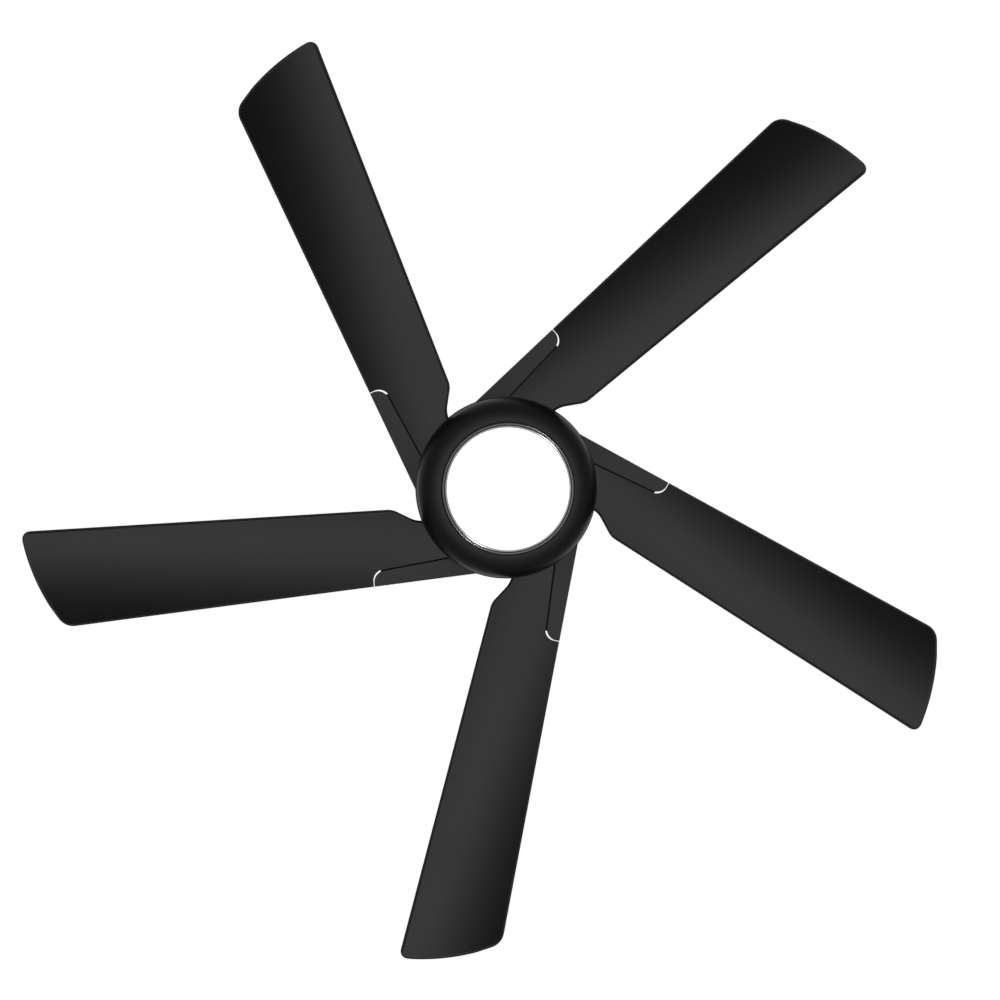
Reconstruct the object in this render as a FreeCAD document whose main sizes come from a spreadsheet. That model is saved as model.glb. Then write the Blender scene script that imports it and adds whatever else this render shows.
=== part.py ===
import FreeCAD, Part
import math
import os
import re
import Sketcher
from FreeCAD import Placement, Rotation, Vector

# A five-blade ceiling fan with a light. Z is up, the ceiling plane is Z = 0 and the fan hangs below it.
# Every driving size is a cell of the sheet. Depths are counted downwards from the ceiling, in millimetres.
SIZES = (
    ("blade_count", 5, "blades"),
    ("first_angle", -113.3, "direction of the first blade"),
    ("blade_step", 72, "angle between blades"),
    ("plate_length", 134, "bracket plate length"),
    ("plate_width", 24, "bracket plate width"),
    ("plate_thickness", 2.5, "bracket plate thickness"),
    ("slot_spacing", 88.9, "distance between the two ceiling slots"),
    ("slot_width", 5.2, "ceiling slot width"),
    ("slot_length", 14, "ceiling slot length end to end"),
    ("leg_width", 24, "bracket leg width"),
    ("leg_thickness", 3, "bracket leg thickness"),
    ("leg_depth", 50, "bracket leg bottom"),
    ("tab_thickness", 2.5, "canopy tab thickness"),
    ("tab_width", 20, "canopy tab width"),
    ("tab_depth", 22, "canopy tab bottom"),
    ("tab_hole_depth", 14, "canopy screw depth"),
    ("ball_depth", 40, "centre of the hanger ball"),
    ("ball_radius", 26, "hanger ball"),
    ("ball_top", 16, "flat above the ball centre"),
    ("ball_bottom", 21, "flat below the ball centre"),
    ("ball_bore", 13.4, "hole through the ball"),
    ("liner_inner", 26.3, "ball side of the seat liner"),
    ("liner_outer", 29, "bracket side of the seat liner"),
    ("liner_top", 4, "liner top below the ball centre"),
    ("liner_bottom", 18, "liner bottom below the ball centre"),
    ("seat_radius", 29.3, "spherical seat in the bracket"),
    ("seat_outer", 33, "outside of the seat ring"),
    ("seat_top", 5, "seat ring top below the ball centre"),
    ("seat_bottom", 20, "seat ring bottom below the ball centre"),
    ("canopy_radius", 70, "canopy outside"),
    ("canopy_gap", 0.5, "canopy rim below the ceiling"),
    ("canopy_depth", 66, "canopy bottom"),
    ("canopy_wall", 1.4, "canopy sheet"),
    ("canopy_mouth", 30, "hole in the canopy bottom"),
    ("canopy_round", 28, "canopy corner"),
    ("canopy_screw_start", 60, "inner end of a canopy screw"),
    ("small_hole", 2.4, "clearance hole for small screws"),
    ("small_shank", 2, "small screw shank"),
    ("small_tapped", 2.1, "hole a small screw holds in"),
    ("small_head", 4.4, "small screw head"),
    ("small_head_height", 2.5, "small screw head height"),
    ("receiver_length", 64, "remote receiver length"),
    ("receiver_width", 19, "remote receiver width"),
    ("receiver_height", 24, "remote receiver height"),
    ("receiver_offset", 36, "remote receiver distance from the axis"),
    ("receiver_top", 6, "remote receiver top"),
    ("receiver_round", 3, "remote receiver corners"),
    ("rod_radius", 13.35, "downrod outside"),
    ("rod_bore", 10.6, "downrod inside"),
    ("rod_top", 26, "downrod top"),
    ("rod_bottom", 186.5, "downrod bottom"),
    ("pin_radius", 3, "cross pin and clevis pin"),
    ("pin_hole", 3.05, "holes for the pins"),
    ("cross_pin_depth", 34, "cross pin depth"),
    ("cross_pin_half", 24, "cross pin half length"),
    ("ball_screw_depth", 52, "ball set screw depth"),
    ("ball_screw_length", 7, "ball set screw length"),
    ("clevis_depth", 177, "clevis pin depth"),
    ("clevis_half", 23, "clevis pin half length"),
    ("clevis_head", 4.6, "clevis pin head"),
    ("clevis_head_height", 2, "clevis pin head height"),
    ("cotter_radius", 3.9, "hairpin ring"),
    ("cotter_wire", 0.7, "hairpin wire"),
    ("cotter_reach", 21, "hairpin place along the pin"),
    ("set_screw_depth", 170, "coupling set screws depth"),
    ("set_screw_length", 8, "coupling set screws length"),
    ("cover_top", 151, "coupling cover top"),
    ("cover_bottom", 195.7, "coupling cover bottom"),
    ("cover_radius", 45, "coupling cover outside"),
    ("cover_mouth", 13.75, "hole in the coupling cover"),
    ("cover_wall", 1.4, "coupling cover sheet"),
    ("cover_round", 30, "coupling cover corner"),
    ("yoke_top", 164, "motor coupling top"),
    ("yoke_radius", 19, "motor coupling outside"),
    ("yoke_bore", 13.45, "motor coupling socket"),
    ("yoke_step", 187.2, "motor coupling socket bottom"),
    ("yoke_flange", 32, "motor coupling flange"),
    ("yoke_flange_top", 197.7, "motor coupling flange top"),
    ("yoke_bottom", 201.5, "motor coupling bottom"),
    ("shaft_radius", 8.5, "motor shaft outside"),
    ("shaft_bore", 5.5, "motor shaft inside"),
    ("shaft_hole", 8.6, "holes the shaft is fixed in"),
    ("shaft_top", 188, "motor shaft top"),
    ("shaft_bottom", 300, "motor shaft bottom"),
    ("housing_top", 196, "motor housing top"),
    ("housing_bottom", 250, "motor housing bottom"),
    ("housing_radius", 118, "motor housing outside"),
    ("housing_wall", 1.4, "motor housing sheet"),
    ("housing_mouth", 20, "hole in the motor housing"),
    ("housing_round", 24, "motor housing corner"),
    ("housing_screw_ring", 26, "motor housing screw ring radius"),
    ("housing_screw_count", 3, "motor housing screws"),
    ("race_inner", 11.5, "inner race outside"),
    ("race_outer", 16, "outer race inside"),
    ("race_rim", 19, "outer race outside"),
    ("race_seat", 19.05, "hole round the outer race"),
    ("race_height", 7, "bearing height"),
    ("bearing_ball", 2.15, "bearing ball"),
    ("bearing_circle", 13.75, "bearing ball circle"),
    ("bearing_count", 8, "balls in a bearing"),
    ("upper_bearing", 211, "upper bearing bottom"),
    ("lower_bearing", 250.5, "lower bearing bottom"),
    ("boss_radius", 26, "bearing boss outside"),
    ("boss_top", 203.5, "rotor shell boss top"),
    ("boss_low", 212, "rotor shell boss bottom"),
    ("shell_top", 206, "rotor shell top"),
    ("shell_under", 209, "rotor shell top underside"),
    ("shell_bottom", 246, "rotor shell bottom"),
    ("shell_radius", 76, "rotor shell outside"),
    ("shell_inside", 72, "rotor shell inside"),
    ("magnet_outer", 71.8, "magnet ring outside"),
    ("magnet_inner", 67.5, "magnet ring inside"),
    ("magnet_top", 212, "magnet ring top"),
    ("magnet_bottom", 240, "magnet ring bottom"),
    ("core_radius", 66.8, "stator core outside"),
    ("core_top", 216, "stator core top"),
    ("core_bottom", 236, "stator core bottom"),
    ("core_slots", 12, "stator slots"),
    ("core_slot_radius", 8, "stator slot"),
    ("core_slot_circle", 50, "stator slot circle"),
    ("core_slot_mouth", 3, "stator slot mouth"),
    ("coil_inner", 38, "winding inside"),
    ("coil_outer", 62, "winding outside"),
    ("coil_height", 4.2, "winding overhang"),
    ("coil_gap", 0.3, "winding to core"),
    ("flange_top", 246.2, "rotor flange top"),
    ("flange_bottom", 251.8, "rotor flange bottom"),
    ("flange_radius", 98, "rotor flange outside"),
    ("flange_boss_top", 242, "rotor flange boss top"),
    ("camber_radius", 600, "blade camber radius at mid thickness"),
    ("camber_axis_y", -256.6, "camber axis beside the fan's axis"),
    ("camber_axis_depth", 839.5, "camber axis depth"),
    ("camber_lean_y", 0.124, "camber axis leans across the blade, which twists it"),
    ("camber_lean_down", 0.0307, "camber axis leans down"),
    ("camber_length", 780, "camber cylinder length"),
    ("blade_thickness", 5, "blade thickness"),
    ("slab_top", 240, "top of the blade outline slab"),
    ("slab_height", 60, "height of the blade outline slab"),
    ("edge_slope", 0.0347, "slope of both blade edges from the blade axis"),
    ("edge_one_offset", 113, "leading edge distance"),
    ("edge_two_offset", 20.6, "trailing edge distance"),
    ("blade_start", 36, "blade outline start"),
    ("tip_one_x", 616.7, "leading tip corner"),
    ("tip_two_x", 661, "trailing tip corner"),
    ("tip_arc", 269, "tip arc"),
    ("tip_one_round", 27, "leading tip corner round"),
    ("tip_two_round", 12, "trailing tip corner round"),
    ("curve_out_x", 157.7, "outer bend of the trailing edge"),
    ("curve_in_x", 126.1, "inner bend of the trailing edge"),
    ("root_side_y", 34.5, "trailing side of the root"),
    ("root_side_x", 88, "trailing root corner"),
    ("curve_out_round", 27, "outer bend radius"),
    ("curve_in_round", 34, "inner bend radius"),
    ("root_cut", 112, "blades end this far from the axis"),
    ("arm_end", 191, "blade arm outer end"),
    ("arm_start", 40, "blade arm strip start"),
    ("arm_line", 82.2, "blade arm inner side at the axis"),
    ("arm_slope", 0.0939, "slope of the arm's inner side"),
    ("arm_round", 14, "blade arm corner"),
    ("arm_top", 0.4, "arm top above the camber surface"),
    ("recess_extra", 0.3, "recess above the arm top"),
    ("recess_gap", 2.2, "recess beside the arm"),
    ("recess_end_gap", 1, "recess past the arm end"),
    ("recess_margin", 10, "recess beyond the leading edge"),
    ("slot_reach", 10, "open slot begins this far before the arm end"),
    ("pad_top", 252.1, "arm pad top"),
    ("pad_height", 13, "arm pad height"),
    ("pad_x_near", 12, "arm pad near side"),
    ("pad_x_mid", 46, "arm pad middle"),
    ("pad_x_far", 80, "arm pad far side"),
    ("pad_y_top", 50, "arm pad inner side"),
    ("pad_y_far", 75, "arm pad far corner"),
    ("pad_x_low", 44, "arm pad low corner"),
    ("pad_y_low", 100, "arm pad low corner distance"),
    ("pad_y_near", 88, "arm pad near corner"),
    ("pad_screw_x", 28, "arm screw place"),
    ("pad_screw_inner", 62, "inner arm screw"),
    ("pad_screw_outer", 82, "outer arm screw"),
    ("pad_screw_top", 248, "arm screw top"),
    ("medium_shank", 2.4, "arm screw shank"),
    ("medium_hole", 2.6, "hole in the arm pad"),
    ("medium_tapped", 2.5, "hole in the rotor flange"),
    ("medium_head", 4.8, "arm screw head"),
    ("medium_head_height", 2.8, "arm screw head height"),
    ("blade_screw_x", 100, "first blade screw along the blade"),
    ("blade_screw_y", -104, "first blade screw across the blade"),
    ("blade_screw_pitch", 36, "distance between blade screws"),
    ("blade_screw_drift", -2.3, "blade screws follow the edge"),
    ("blade_screw_count", 3, "screws in a blade"),
    ("blade_screw_seat", 0.7, "blade screw head above the surface"),
    ("blade_screw_reach", 4.6, "blade screw shank length"),
    ("lamp_top", 287, "light housing top"),
    ("lamp_lip_low", 290, "light housing lip bottom"),
    ("lamp_lip", 124, "light housing lip"),
    ("lamp_lip_bevel", 1, "light housing lip bevel"),
    ("lamp_radius", 122.6, "light housing outside"),
    ("lamp_bottom", 334, "light housing bottom"),
    ("lamp_wall", 2, "light housing wall"),
    ("lamp_mouth", 89.3, "light housing opening"),
    ("lamp_round", 46, "light housing bowl curve"),
    ("lamp_shaft_hole", 8.8, "shaft hole in the light housing"),
    ("nut_across", 13, "shaft nut corner radius"),
    ("nut_top", 289.3, "shaft nut top"),
    ("nut_height", 6, "shaft nut height"),
    ("driver_length", 72, "lamp driver length"),
    ("driver_width", 34, "lamp driver width"),
    ("driver_height", 20, "lamp driver height"),
    ("driver_offset", 24, "lamp driver distance from the axis"),
    ("driver_top", 291, "lamp driver top"),
    ("pan_radius", 80, "heat spreader pan"),
    ("pan_top", 316, "heat spreader pan top"),
    ("pan_thickness", 1.5, "heat spreader pan thickness"),
    ("standoff_ring", 74, "standoff ring"),
    ("standoff_radius", 4, "standoff"),
    ("standoff_count", 3, "standoffs"),
    ("standoff_gap", 0.2, "standoff end gap"),
    ("board_radius", 76, "lamp board"),
    ("board_top", 317.8, "lamp board top"),
    ("board_thickness", 1.6, "lamp board thickness"),
    ("chip_length", 3.5, "lamp chip length"),
    ("chip_width", 2.8, "lamp chip width"),
    ("chip_height", 0.8, "lamp chip height"),
    ("chip_top", 319.5, "lamp chip top"),
    ("chip_ring_pitch", 22, "distance between chip rings"),
    ("chip_ring_first", 20, "first chip ring"),
    ("chip_ring_step", 6, "chips added from ring to ring"),
    ("chip_ring_count", 3, "chip rings"),
    ("board_screw_ring", 31, "board screw ring"),
    ("board_screw_low", 320.2, "board screw head bottom"),
    ("ring_top", 328.9, "trim ring top"),
    ("ring_inner", 83, "trim ring inside"),
    ("ring_outer", 89, "trim ring outside"),
    ("ring_flange", 92, "trim ring flange"),
    ("ring_flange_low", 331, "trim ring flange bottom"),
    ("ring_bottom", 336.6, "trim ring bottom"),
    ("ring_bevel", 1.6, "trim ring inner bevel"),
    ("lens_radius", 82.6, "lens outside"),
    ("lens_rim", 337.5, "lens rim bottom"),
    ("lens_sphere", 303.5, "lens outer curve"),
    ("lens_centre", 45.5, "depth of the lens curve's centre"),
    ("lens_wall", 2.5, "lens thickness"),
    ("lens_slab", 30, "height of the lens block"),
    ("lens_slab_top", 334.2, "lens block top"),
    ("skirt_radius", 81.6, "lens skirt outside"),
    ("skirt_inside", 79.2, "lens skirt inside"),
    ("skirt_top", 325.6, "lens skirt top"),
    ("skirt_bottom", 336.2, "lens skirt bottom"),
    ("lens_tab_reach", 88, "lens tab tip"),
    ("lens_tab_root", 80, "lens tab root"),
    ("lens_tab_width", 12, "lens tab width"),
    ("lens_tab_height", 2.9, "lens tab height"),
    ("lens_tab_count", 3, "lens tabs"),
    ("notch_reach", 88.4, "trim ring notch reach"),
    ("notch_width", 14, "trim ring notch width"),
    ("notch_angle", 15, "trim ring notch angle from the tab"),
    ("gasket_inner", 89.4, "gasket inside"),
    ("gasket_outer", 91.8, "gasket outside"),
    ("gasket_top", 324.4, "gasket top"),
    ("gasket_height", 1.6, "gasket height"),
    ("lead_radius", 1.1, "supply lead"),
    ("lead_wide", 8.8, "supply leads from the axis beside the pins"),
    ("lead_narrow", 3.2, "supply leads from the axis in the shaft"),
    ("lead_turn_in", 181, "supply leads start to lean in"),
    ("lead_turn_down", 188.5, "supply leads enter the shaft"),
    ("lead_top", 14, "supply leads top"),
    ("lead_bottom", 303, "supply leads bottom"),
    ("half_turn", 180, "half a turn"),
    ("full_turn", 360, "a full turn"),
)

ALONG_X = Rotation(Vector(0, 1, 0), 90)
ALONG_Y = Rotation(Vector(1, 0, 0), -90)
UPRIGHT = Rotation()
CLOSE = 1e-4

doc = FreeCAD.newDocument("CeilingFan")
sheet = doc.addObject("Spreadsheet::Sheet", "Sizes")
for row, (alias, amount, meaning) in enumerate(SIZES, start=1):
    sheet.set("A%d" % row, meaning)
    sheet.set("B%d" % row, str(amount))
    sheet.setAlias("B%d" % row, alias)
doc.recompute()
nodes = []


def linked(text):
    """The same formula with every size name pointing at the sheet."""
    return re.sub(r"\b([a-z]+_[a-z_]+)\b", r"Sizes.\1", text)


def amount_of(text):
    """The present value of a formula."""
    return float(sheet.evalExpression(linked(text)))


def bind(item, **formulas):
    """Bind plain properties of a document object to formulas."""
    for name, text in formulas.items():
        item.setExpression(name, linked(text))


def place(item, x, y, z, turn=UPRIGHT):
    """Turn an object, and bind its position."""
    item.Placement = Placement(Vector(), turn)
    for axis, text in zip("xyz", (x, y, z)):
        item.setExpression("Placement.Base." + axis, linked(text))


def post(radius, height, x="0", y="0", z="0", turn=UPRIGHT):
    """A round bar that starts at the given point."""
    item = doc.addObject("Part::Cylinder", "Post")
    bind(item, Radius=radius, Height=height)
    place(item, x, y, z, turn)
    return item


def block(length, width, height, x, y, z):
    """A rectangular block from its lowest corner."""
    item = doc.addObject("Part::Box", "Block")
    bind(item, Length=length, Width=width, Height=height)
    place(item, x, y, z)
    return item


def ball(radius, x, y, z):
    """A whole sphere."""
    item = doc.addObject("Part::Sphere", "Ball")
    bind(item, Radius=radius)
    place(item, x, y, z)
    return item


def fused(*items):
    """Several solids made one."""
    result = doc.addObject("Part::MultiFuse", "Fused")
    result.Shapes = list(items)
    return result


def shared(*items):
    """What several solids have in common."""
    result = doc.addObject("Part::MultiCommon", "Shared")
    result.Shapes = list(items)
    return result


def grouped(items):
    """Separate solids kept side by side."""
    result = doc.addObject("Part::Compound", "Grouped")
    result.Links = list(items)
    return result


def cut(base, *tools):
    """A solid less one or more others."""
    result = doc.addObject("Part::Cut", "Cut")
    result.Base = base
    result.Tool = tools[0] if len(tools) == 1 else grouped(tools)
    return result


def turned_copy(item, angle):
    """The same solid turned about the fan's axis by a bound angle."""
    result = grouped([item])
    result.Placement = Placement(Vector(), Rotation(Vector(0, 0, 1), 1))
    result.setExpression("Placement.Rotation.Angle", linked(angle))
    return result


def ring_of(item, count, start="0"):
    """Copies of one solid all round the fan's axis."""
    total = int(amount_of(count))
    return [turned_copy(item, "%s + full_turn * %d / %s" % (start, step, count)) for step in range(total)]


def node(name, item):
    """Name a finished sub-part."""
    item.Label = name
    nodes.append(item)
    return item


def place_corner(sketch, edge, end, across, along):
    """Bind one corner of an outline to its two formulas."""
    for kind, text, axis in (("DistanceX", across, -2), ("DistanceY", along, -1)):
        reach = amount_of(text)
        if abs(reach) < CLOSE:
            sketch.addConstraint(Sketcher.Constraint("PointOnObject", edge, end, axis))
        elif reach > 0:
            spot = sketch.addConstraint(Sketcher.Constraint(kind, -1, 1, edge, end, reach))
            sketch.setExpression("Constraints[%d]" % spot, linked(text))
        else:
            spot = sketch.addConstraint(Sketcher.Constraint(kind, edge, end, -1, 1, -reach))
            sketch.setExpression("Constraints[%d]" % spot, linked("-(%s)" % text))


def arc_between(first, last, radius):
    """An arc that bulges away from the origin's side, and whether it runs from last to first."""
    middle = (first + last) * 0.5
    chord = last - first
    side = Vector(-chord.y, chord.x, 0).normalize()
    side = side if side.dot(first) < 0 else -side
    centre = middle + side * (radius ** 2 - (chord.Length / 2) ** 2) ** 0.5
    backwards = chord.cross(centre - first).z < 0
    ends = (last, first) if backwards else (first, last)
    start, stop = [math.atan2(end.y - centre.y, end.x - centre.x) for end in ends]
    return Part.ArcOfCircle(Part.Circle(centre, Vector(0, 0, 1), radius), start, stop), backwards


def outline(body, role, corners, arcs=()):
    """A closed outline on one of the body's planes; arcs maps an edge number to its radius."""
    sketch = body.newObject("Sketcher::SketchObject", "Outline")
    plane = [item for item in body.Origin.OriginFeatures if item.Role == role][0]
    sketch.AttachmentSupport = [(plane, "")]
    sketch.MapMode = "FlatFace"
    points = [Vector(amount_of(across), amount_of(along), 0) for across, along in corners]
    bends = dict(arcs)
    first_end = {}
    for edge, point in enumerate(points):
        following = points[(edge + 1) % len(points)]
        first_end[edge] = 1
        if edge in bends:
            curve, backwards = arc_between(point, following, amount_of(bends[edge]))
            sketch.addGeometry(curve)
            first_end[edge] = 2 if backwards else 1
        else:
            sketch.addGeometry(Part.LineSegment(point, following))
    for edge, (across, along) in enumerate(corners):
        following = (edge + 1) % len(points)
        last_end = 3 - first_end[edge]
        sketch.addConstraint(Sketcher.Constraint("Coincident", edge, last_end, following, first_end[following]))
        place_corner(sketch, edge, first_end[edge], across, along)
    for edge, radius in bends.items():
        spot = sketch.addConstraint(Sketcher.Constraint("Radius", edge, amount_of(radius)))
        sketch.setExpression("Constraints[%d]" % spot, linked(radius))
    return sketch


def turned(corners, arcs=()):
    """A body turned from (radius, depth) corners."""
    body = doc.addObject("PartDesign::Body", "Turned")
    sketch = outline(body, "XZ_Plane", [(radius, "-(%s)" % depth) for radius, depth in corners], arcs)
    spin = body.newObject("PartDesign::Revolution", "Spin")
    spin.Profile = sketch
    spin.ReferenceAxis = (sketch, ["V_Axis"])
    bind(spin, Angle="full_turn")
    doc.recompute()
    return body


def raised(corners, bottom, height, arcs=()):
    """A body padded upwards from an outline of (x, y) corners."""
    body = doc.addObject("PartDesign::Body", "Raised")
    sketch = outline(body, "XY_Plane", corners, arcs)
    sketch.setExpression("AttachmentOffset.Base.z", linked("-(%s)" % bottom))
    pad = body.newObject("PartDesign::Pad", "Lift")
    pad.Profile = sketch
    bind(pad, Length=height)
    doc.recompute()
    return body


def rounded(body, radius, names):
    """Round the named edges of a body's last feature."""
    base = body.Tip
    soft = body.newObject("PartDesign::Fillet", "Soft")
    soft.Base = (base, names)
    bind(soft, Radius=radius)
    doc.recompute()
    return body


def rounded_rim(body, radius, depth, corner):
    """Round the circular edge of the given radius and depth."""
    names = []
    for place_in_list, edge in enumerate(body.Tip.Shape.Edges, start=1):
        round_edge = isinstance(edge.Curve, Part.Circle)
        if round_edge and abs(edge.Curve.Radius - amount_of(radius)) < CLOSE:
            if abs(edge.Curve.Center.z + amount_of(depth)) < CLOSE:
                names.append("Edge%d" % place_in_list)
    return rounded(body, corner, names)


def rounded_upright(body, across, along, corner):
    """Round the upright edge that stands over one corner of an outline."""
    spot = Vector(amount_of(across), amount_of(along), 0)
    names = []
    for place_in_list, edge in enumerate(body.Tip.Shape.Edges, start=1):
        middle = edge.CenterOfMass
        if Vector(middle.x, middle.y, 0).sub(spot).Length < CLOSE:
            names.append("Edge%d" % place_in_list)
    return rounded(body, corner, names)


def sheet_bell(top, bottom, radius, mouth, wall, corner, mouth_low):
    """A pressed sheet bell; its closed side is at the bottom or at the top."""
    closed, opening = (bottom, top) if mouth_low else (top, bottom)
    inner = "%s - %s" % (closed, wall) if mouth_low else "%s + %s" % (closed, wall)
    narrow = "%s - %s" % (radius, wall)
    corners = [(mouth, inner), (mouth, closed), (radius, closed)]
    corners += [(radius, opening), (narrow, opening), (narrow, inner)]
    body = turned(corners)
    rounded_rim(body, radius, closed, corner)
    return rounded_rim(body, narrow, inner, "%s - %s" % (corner, wall))


def fixed_ring(inner, outer, top, bottom):
    """A plain ring."""
    return turned([(inner, top), (outer, top), (outer, bottom), (inner, bottom)])


# Ceiling bracket: cross plate, two legs, seat ring and two canopy tabs.
plate_z = "-plate_thickness"
cross_plate = block("plate_length", "plate_width", "plate_thickness", "-plate_length/2", "-plate_width/2", plate_z)
bridge = block("leg_width", "2*seat_outer", "plate_thickness", "-leg_width/2", "-seat_outer", plate_z)
leg_near = block("leg_width", "leg_thickness", "leg_depth", "-leg_width/2", "seat_outer-leg_thickness", "-leg_depth")
leg_far = block("leg_width", "leg_thickness", "leg_depth", "-leg_width/2", "-seat_outer", "-leg_depth")
tab_x = "plate_length/2-tab_thickness"
tab_right = block("tab_thickness", "tab_width", "tab_depth", tab_x, "-tab_width/2", "-tab_depth")
tab_left = block("tab_thickness", "tab_width", "tab_depth", "-plate_length/2", "-tab_width/2", "-tab_depth")
seat_ring = post("seat_outer", "seat_bottom-seat_top", z="-(ball_depth+seat_bottom)")
bracket_body = fused(cross_plate, bridge, leg_near, leg_far, tab_right, tab_left, seat_ring)
seat_hollow = ball("seat_radius", "0", "0", "-ball_depth")
slot_low = "-(plate_thickness*2)"
slot_high = "plate_thickness*3"
slot_straight = "slot_length-slot_width"
slots = []
for side in ("slot_spacing/2", "-slot_spacing/2"):
    start = "%s-(%s)/2" % (side, slot_straight)
    slots.append(block(slot_straight, "slot_width", slot_high, start, "-slot_width/2", slot_low))
    slots.append(post("slot_width/2", slot_high, x=start, z=slot_low))
    slots.append(post("slot_width/2", slot_high, x="%s+(%s)/2" % (side, slot_straight), z=slot_low))
tab_hole = post("small_tapped", "plate_length*2", x="-plate_length", z="-tab_hole_depth", turn=ALONG_X)
bracket_cut = cut(bracket_body, fused(seat_hollow, tab_hole, *slots))
node("mounting_bracket", bracket_cut)

# Seat liner: the moving spherical ring between the bracket seat and the ball.
liner_slab = post("seat_outer", "liner_bottom-liner_top", z="-(ball_depth+liner_bottom)")
liner_block = shared(ball("liner_outer", "0", "0", "-ball_depth"), liner_slab)
node("ball_seat_liner", cut(liner_block, ball("liner_inner", "0", "0", "-ball_depth")))

# Canopy and its two screws.
canopy_shell = sheet_bell("canopy_gap", "canopy_depth", "canopy_radius", "canopy_mouth", "canopy_wall",
                          "canopy_round", True)
canopy_hole = post("small_hole", "canopy_radius*4", x="-canopy_radius*2", z="-tab_hole_depth", turn=ALONG_X)
node("canopy", cut(canopy_shell, canopy_hole))
screw_shank = post("small_shank", "canopy_radius+canopy_gap-canopy_screw_start", x="canopy_screw_start",
                   z="-tab_hole_depth", turn=ALONG_X)
screw_head = post("small_head", "small_head_height", x="canopy_radius+canopy_gap/2", z="-tab_hole_depth",
                  turn=ALONG_X)
canopy_screw = fused(screw_shank, screw_head)
node("canopy_screws", grouped([turned_copy(canopy_screw, "0"), turned_copy(canopy_screw, "half_turn")]))

# Remote receiver inside the canopy.
half_length = "receiver_length/2"
receiver_back = "receiver_offset+receiver_width"
receiver_corners = [("-(%s)" % half_length, "receiver_offset"), (half_length, "receiver_offset"),
                    (half_length, receiver_back), ("-(%s)" % half_length, receiver_back)]
receiver = raised(receiver_corners, "receiver_top+receiver_height", "receiver_height")
for across, along in receiver_corners:
    rounded_upright(receiver, across, along, "receiver_round")
node("receiver_module", receiver)

# Hanger ball with its cross pin and set screw.
ball_slab = post("seat_outer", "ball_top+ball_bottom", z="-(ball_depth+ball_bottom)")
ball_block = shared(ball("ball_radius", "0", "0", "-ball_depth"), ball_slab)
ball_bore = post("ball_bore", "seat_outer*4", z="-(ball_depth+seat_outer*2)")
cross_hole = post("pin_hole", "seat_outer*2", x="-seat_outer", z="-cross_pin_depth", turn=ALONG_X)
screw_hole = post("small_tapped", "seat_outer", z="-ball_screw_depth", turn=ALONG_Y)
node("hanger_ball", cut(ball_block, fused(ball_bore, cross_hole, screw_hole)))
node("ball_cross_pin", post("pin_radius", "cross_pin_half*2", x="-cross_pin_half", z="-cross_pin_depth",
                            turn=ALONG_X))
node("ball_set_screw", post("small_shank", "ball_screw_length", y="ball_bore", z="-ball_screw_depth",
                            turn=ALONG_Y))

# Downrod, clevis pin, its hairpin, and the coupling below.
rod_tube = fixed_ring("rod_bore", "rod_radius", "rod_top", "rod_bottom")
rod_cross = post("pin_hole", "seat_outer*2", x="-seat_outer", z="-cross_pin_depth", turn=ALONG_X)
rod_clevis = post("pin_hole", "seat_outer*2", y="-seat_outer", z="-clevis_depth", turn=ALONG_Y)
node("downrod", cut(rod_tube, rod_cross, rod_clevis))
clevis_stem = post("pin_radius", "clevis_half*2", y="-clevis_half", z="-clevis_depth", turn=ALONG_Y)
clevis_cap = post("clevis_head", "clevis_head_height", y="clevis_half", z="-clevis_depth", turn=ALONG_Y)
node("clevis_pin", fused(clevis_stem, clevis_cap))
cotter = doc.addObject("Part::Torus", "Cotter")
bind(cotter, Radius1="cotter_radius", Radius2="cotter_wire")
place(cotter, "0", "-cotter_reach", "-clevis_depth", ALONG_Y)
node("clevis_hairpin", cotter)
yoke_corners = [("yoke_bore", "yoke_top"), ("yoke_radius", "yoke_top"), ("yoke_radius", "yoke_flange_top"),
                ("yoke_flange", "yoke_flange_top"), ("yoke_flange", "yoke_bottom"), ("shaft_hole", "yoke_bottom"),
                ("shaft_hole", "yoke_step"), ("yoke_bore", "yoke_step")]
yoke_clevis = post("pin_hole", "seat_outer*2", y="-seat_outer", z="-clevis_depth", turn=ALONG_Y)
yoke_sets = post("small_tapped", "seat_outer*2", x="-seat_outer", z="-set_screw_depth", turn=ALONG_X)
housing_tapped = ring_of(post("small_tapped", "seat_outer*2", x="housing_screw_ring", z="-yoke_bottom-seat_outer"),
                         "housing_screw_count")
yoke_tools = fused(yoke_clevis, yoke_sets, *housing_tapped)
node("motor_coupling", cut(turned(yoke_corners), yoke_tools))
set_screw = post("small_shank", "set_screw_length", x="yoke_bore", z="-set_screw_depth", turn=ALONG_X)
node("coupling_set_screws", grouped([turned_copy(set_screw, "0"), turned_copy(set_screw, "half_turn")]))
node("coupling_cover", sheet_bell("cover_top", "cover_bottom", "cover_radius", "cover_mouth", "cover_wall",
                                  "cover_round", False))
node("motor_shaft", fixed_ring("shaft_bore", "shaft_radius", "shaft_top", "shaft_bottom"))
lead_upper = post("lead_radius", "lead_turn_in-lead_top", x="lead_wide", z="-lead_turn_in")
lead_lower = post("lead_radius", "lead_bottom-lead_turn_down", x="lead_narrow", z="-lead_bottom")
lean_across = amount_of("lead_wide-lead_narrow")
lean_down = amount_of("lead_turn_down-lead_turn_in")
lean = Rotation(Vector(0, 0, 1), Vector(lean_across, 0, lean_down))
lean_length = "sqrt((lead_wide-lead_narrow)^2+(lead_turn_down-lead_turn_in)^2)"
lead_middle = post("lead_radius", lean_length, x="lead_narrow", z="-lead_turn_down", turn=lean)
lead_bend_high = ball("lead_radius", "lead_wide", "0", "-lead_turn_in")
lead_bend_low = ball("lead_radius", "lead_narrow", "0", "-lead_turn_down")
lead = fused(lead_upper, lead_middle, lead_lower, lead_bend_high, lead_bend_low)
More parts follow.
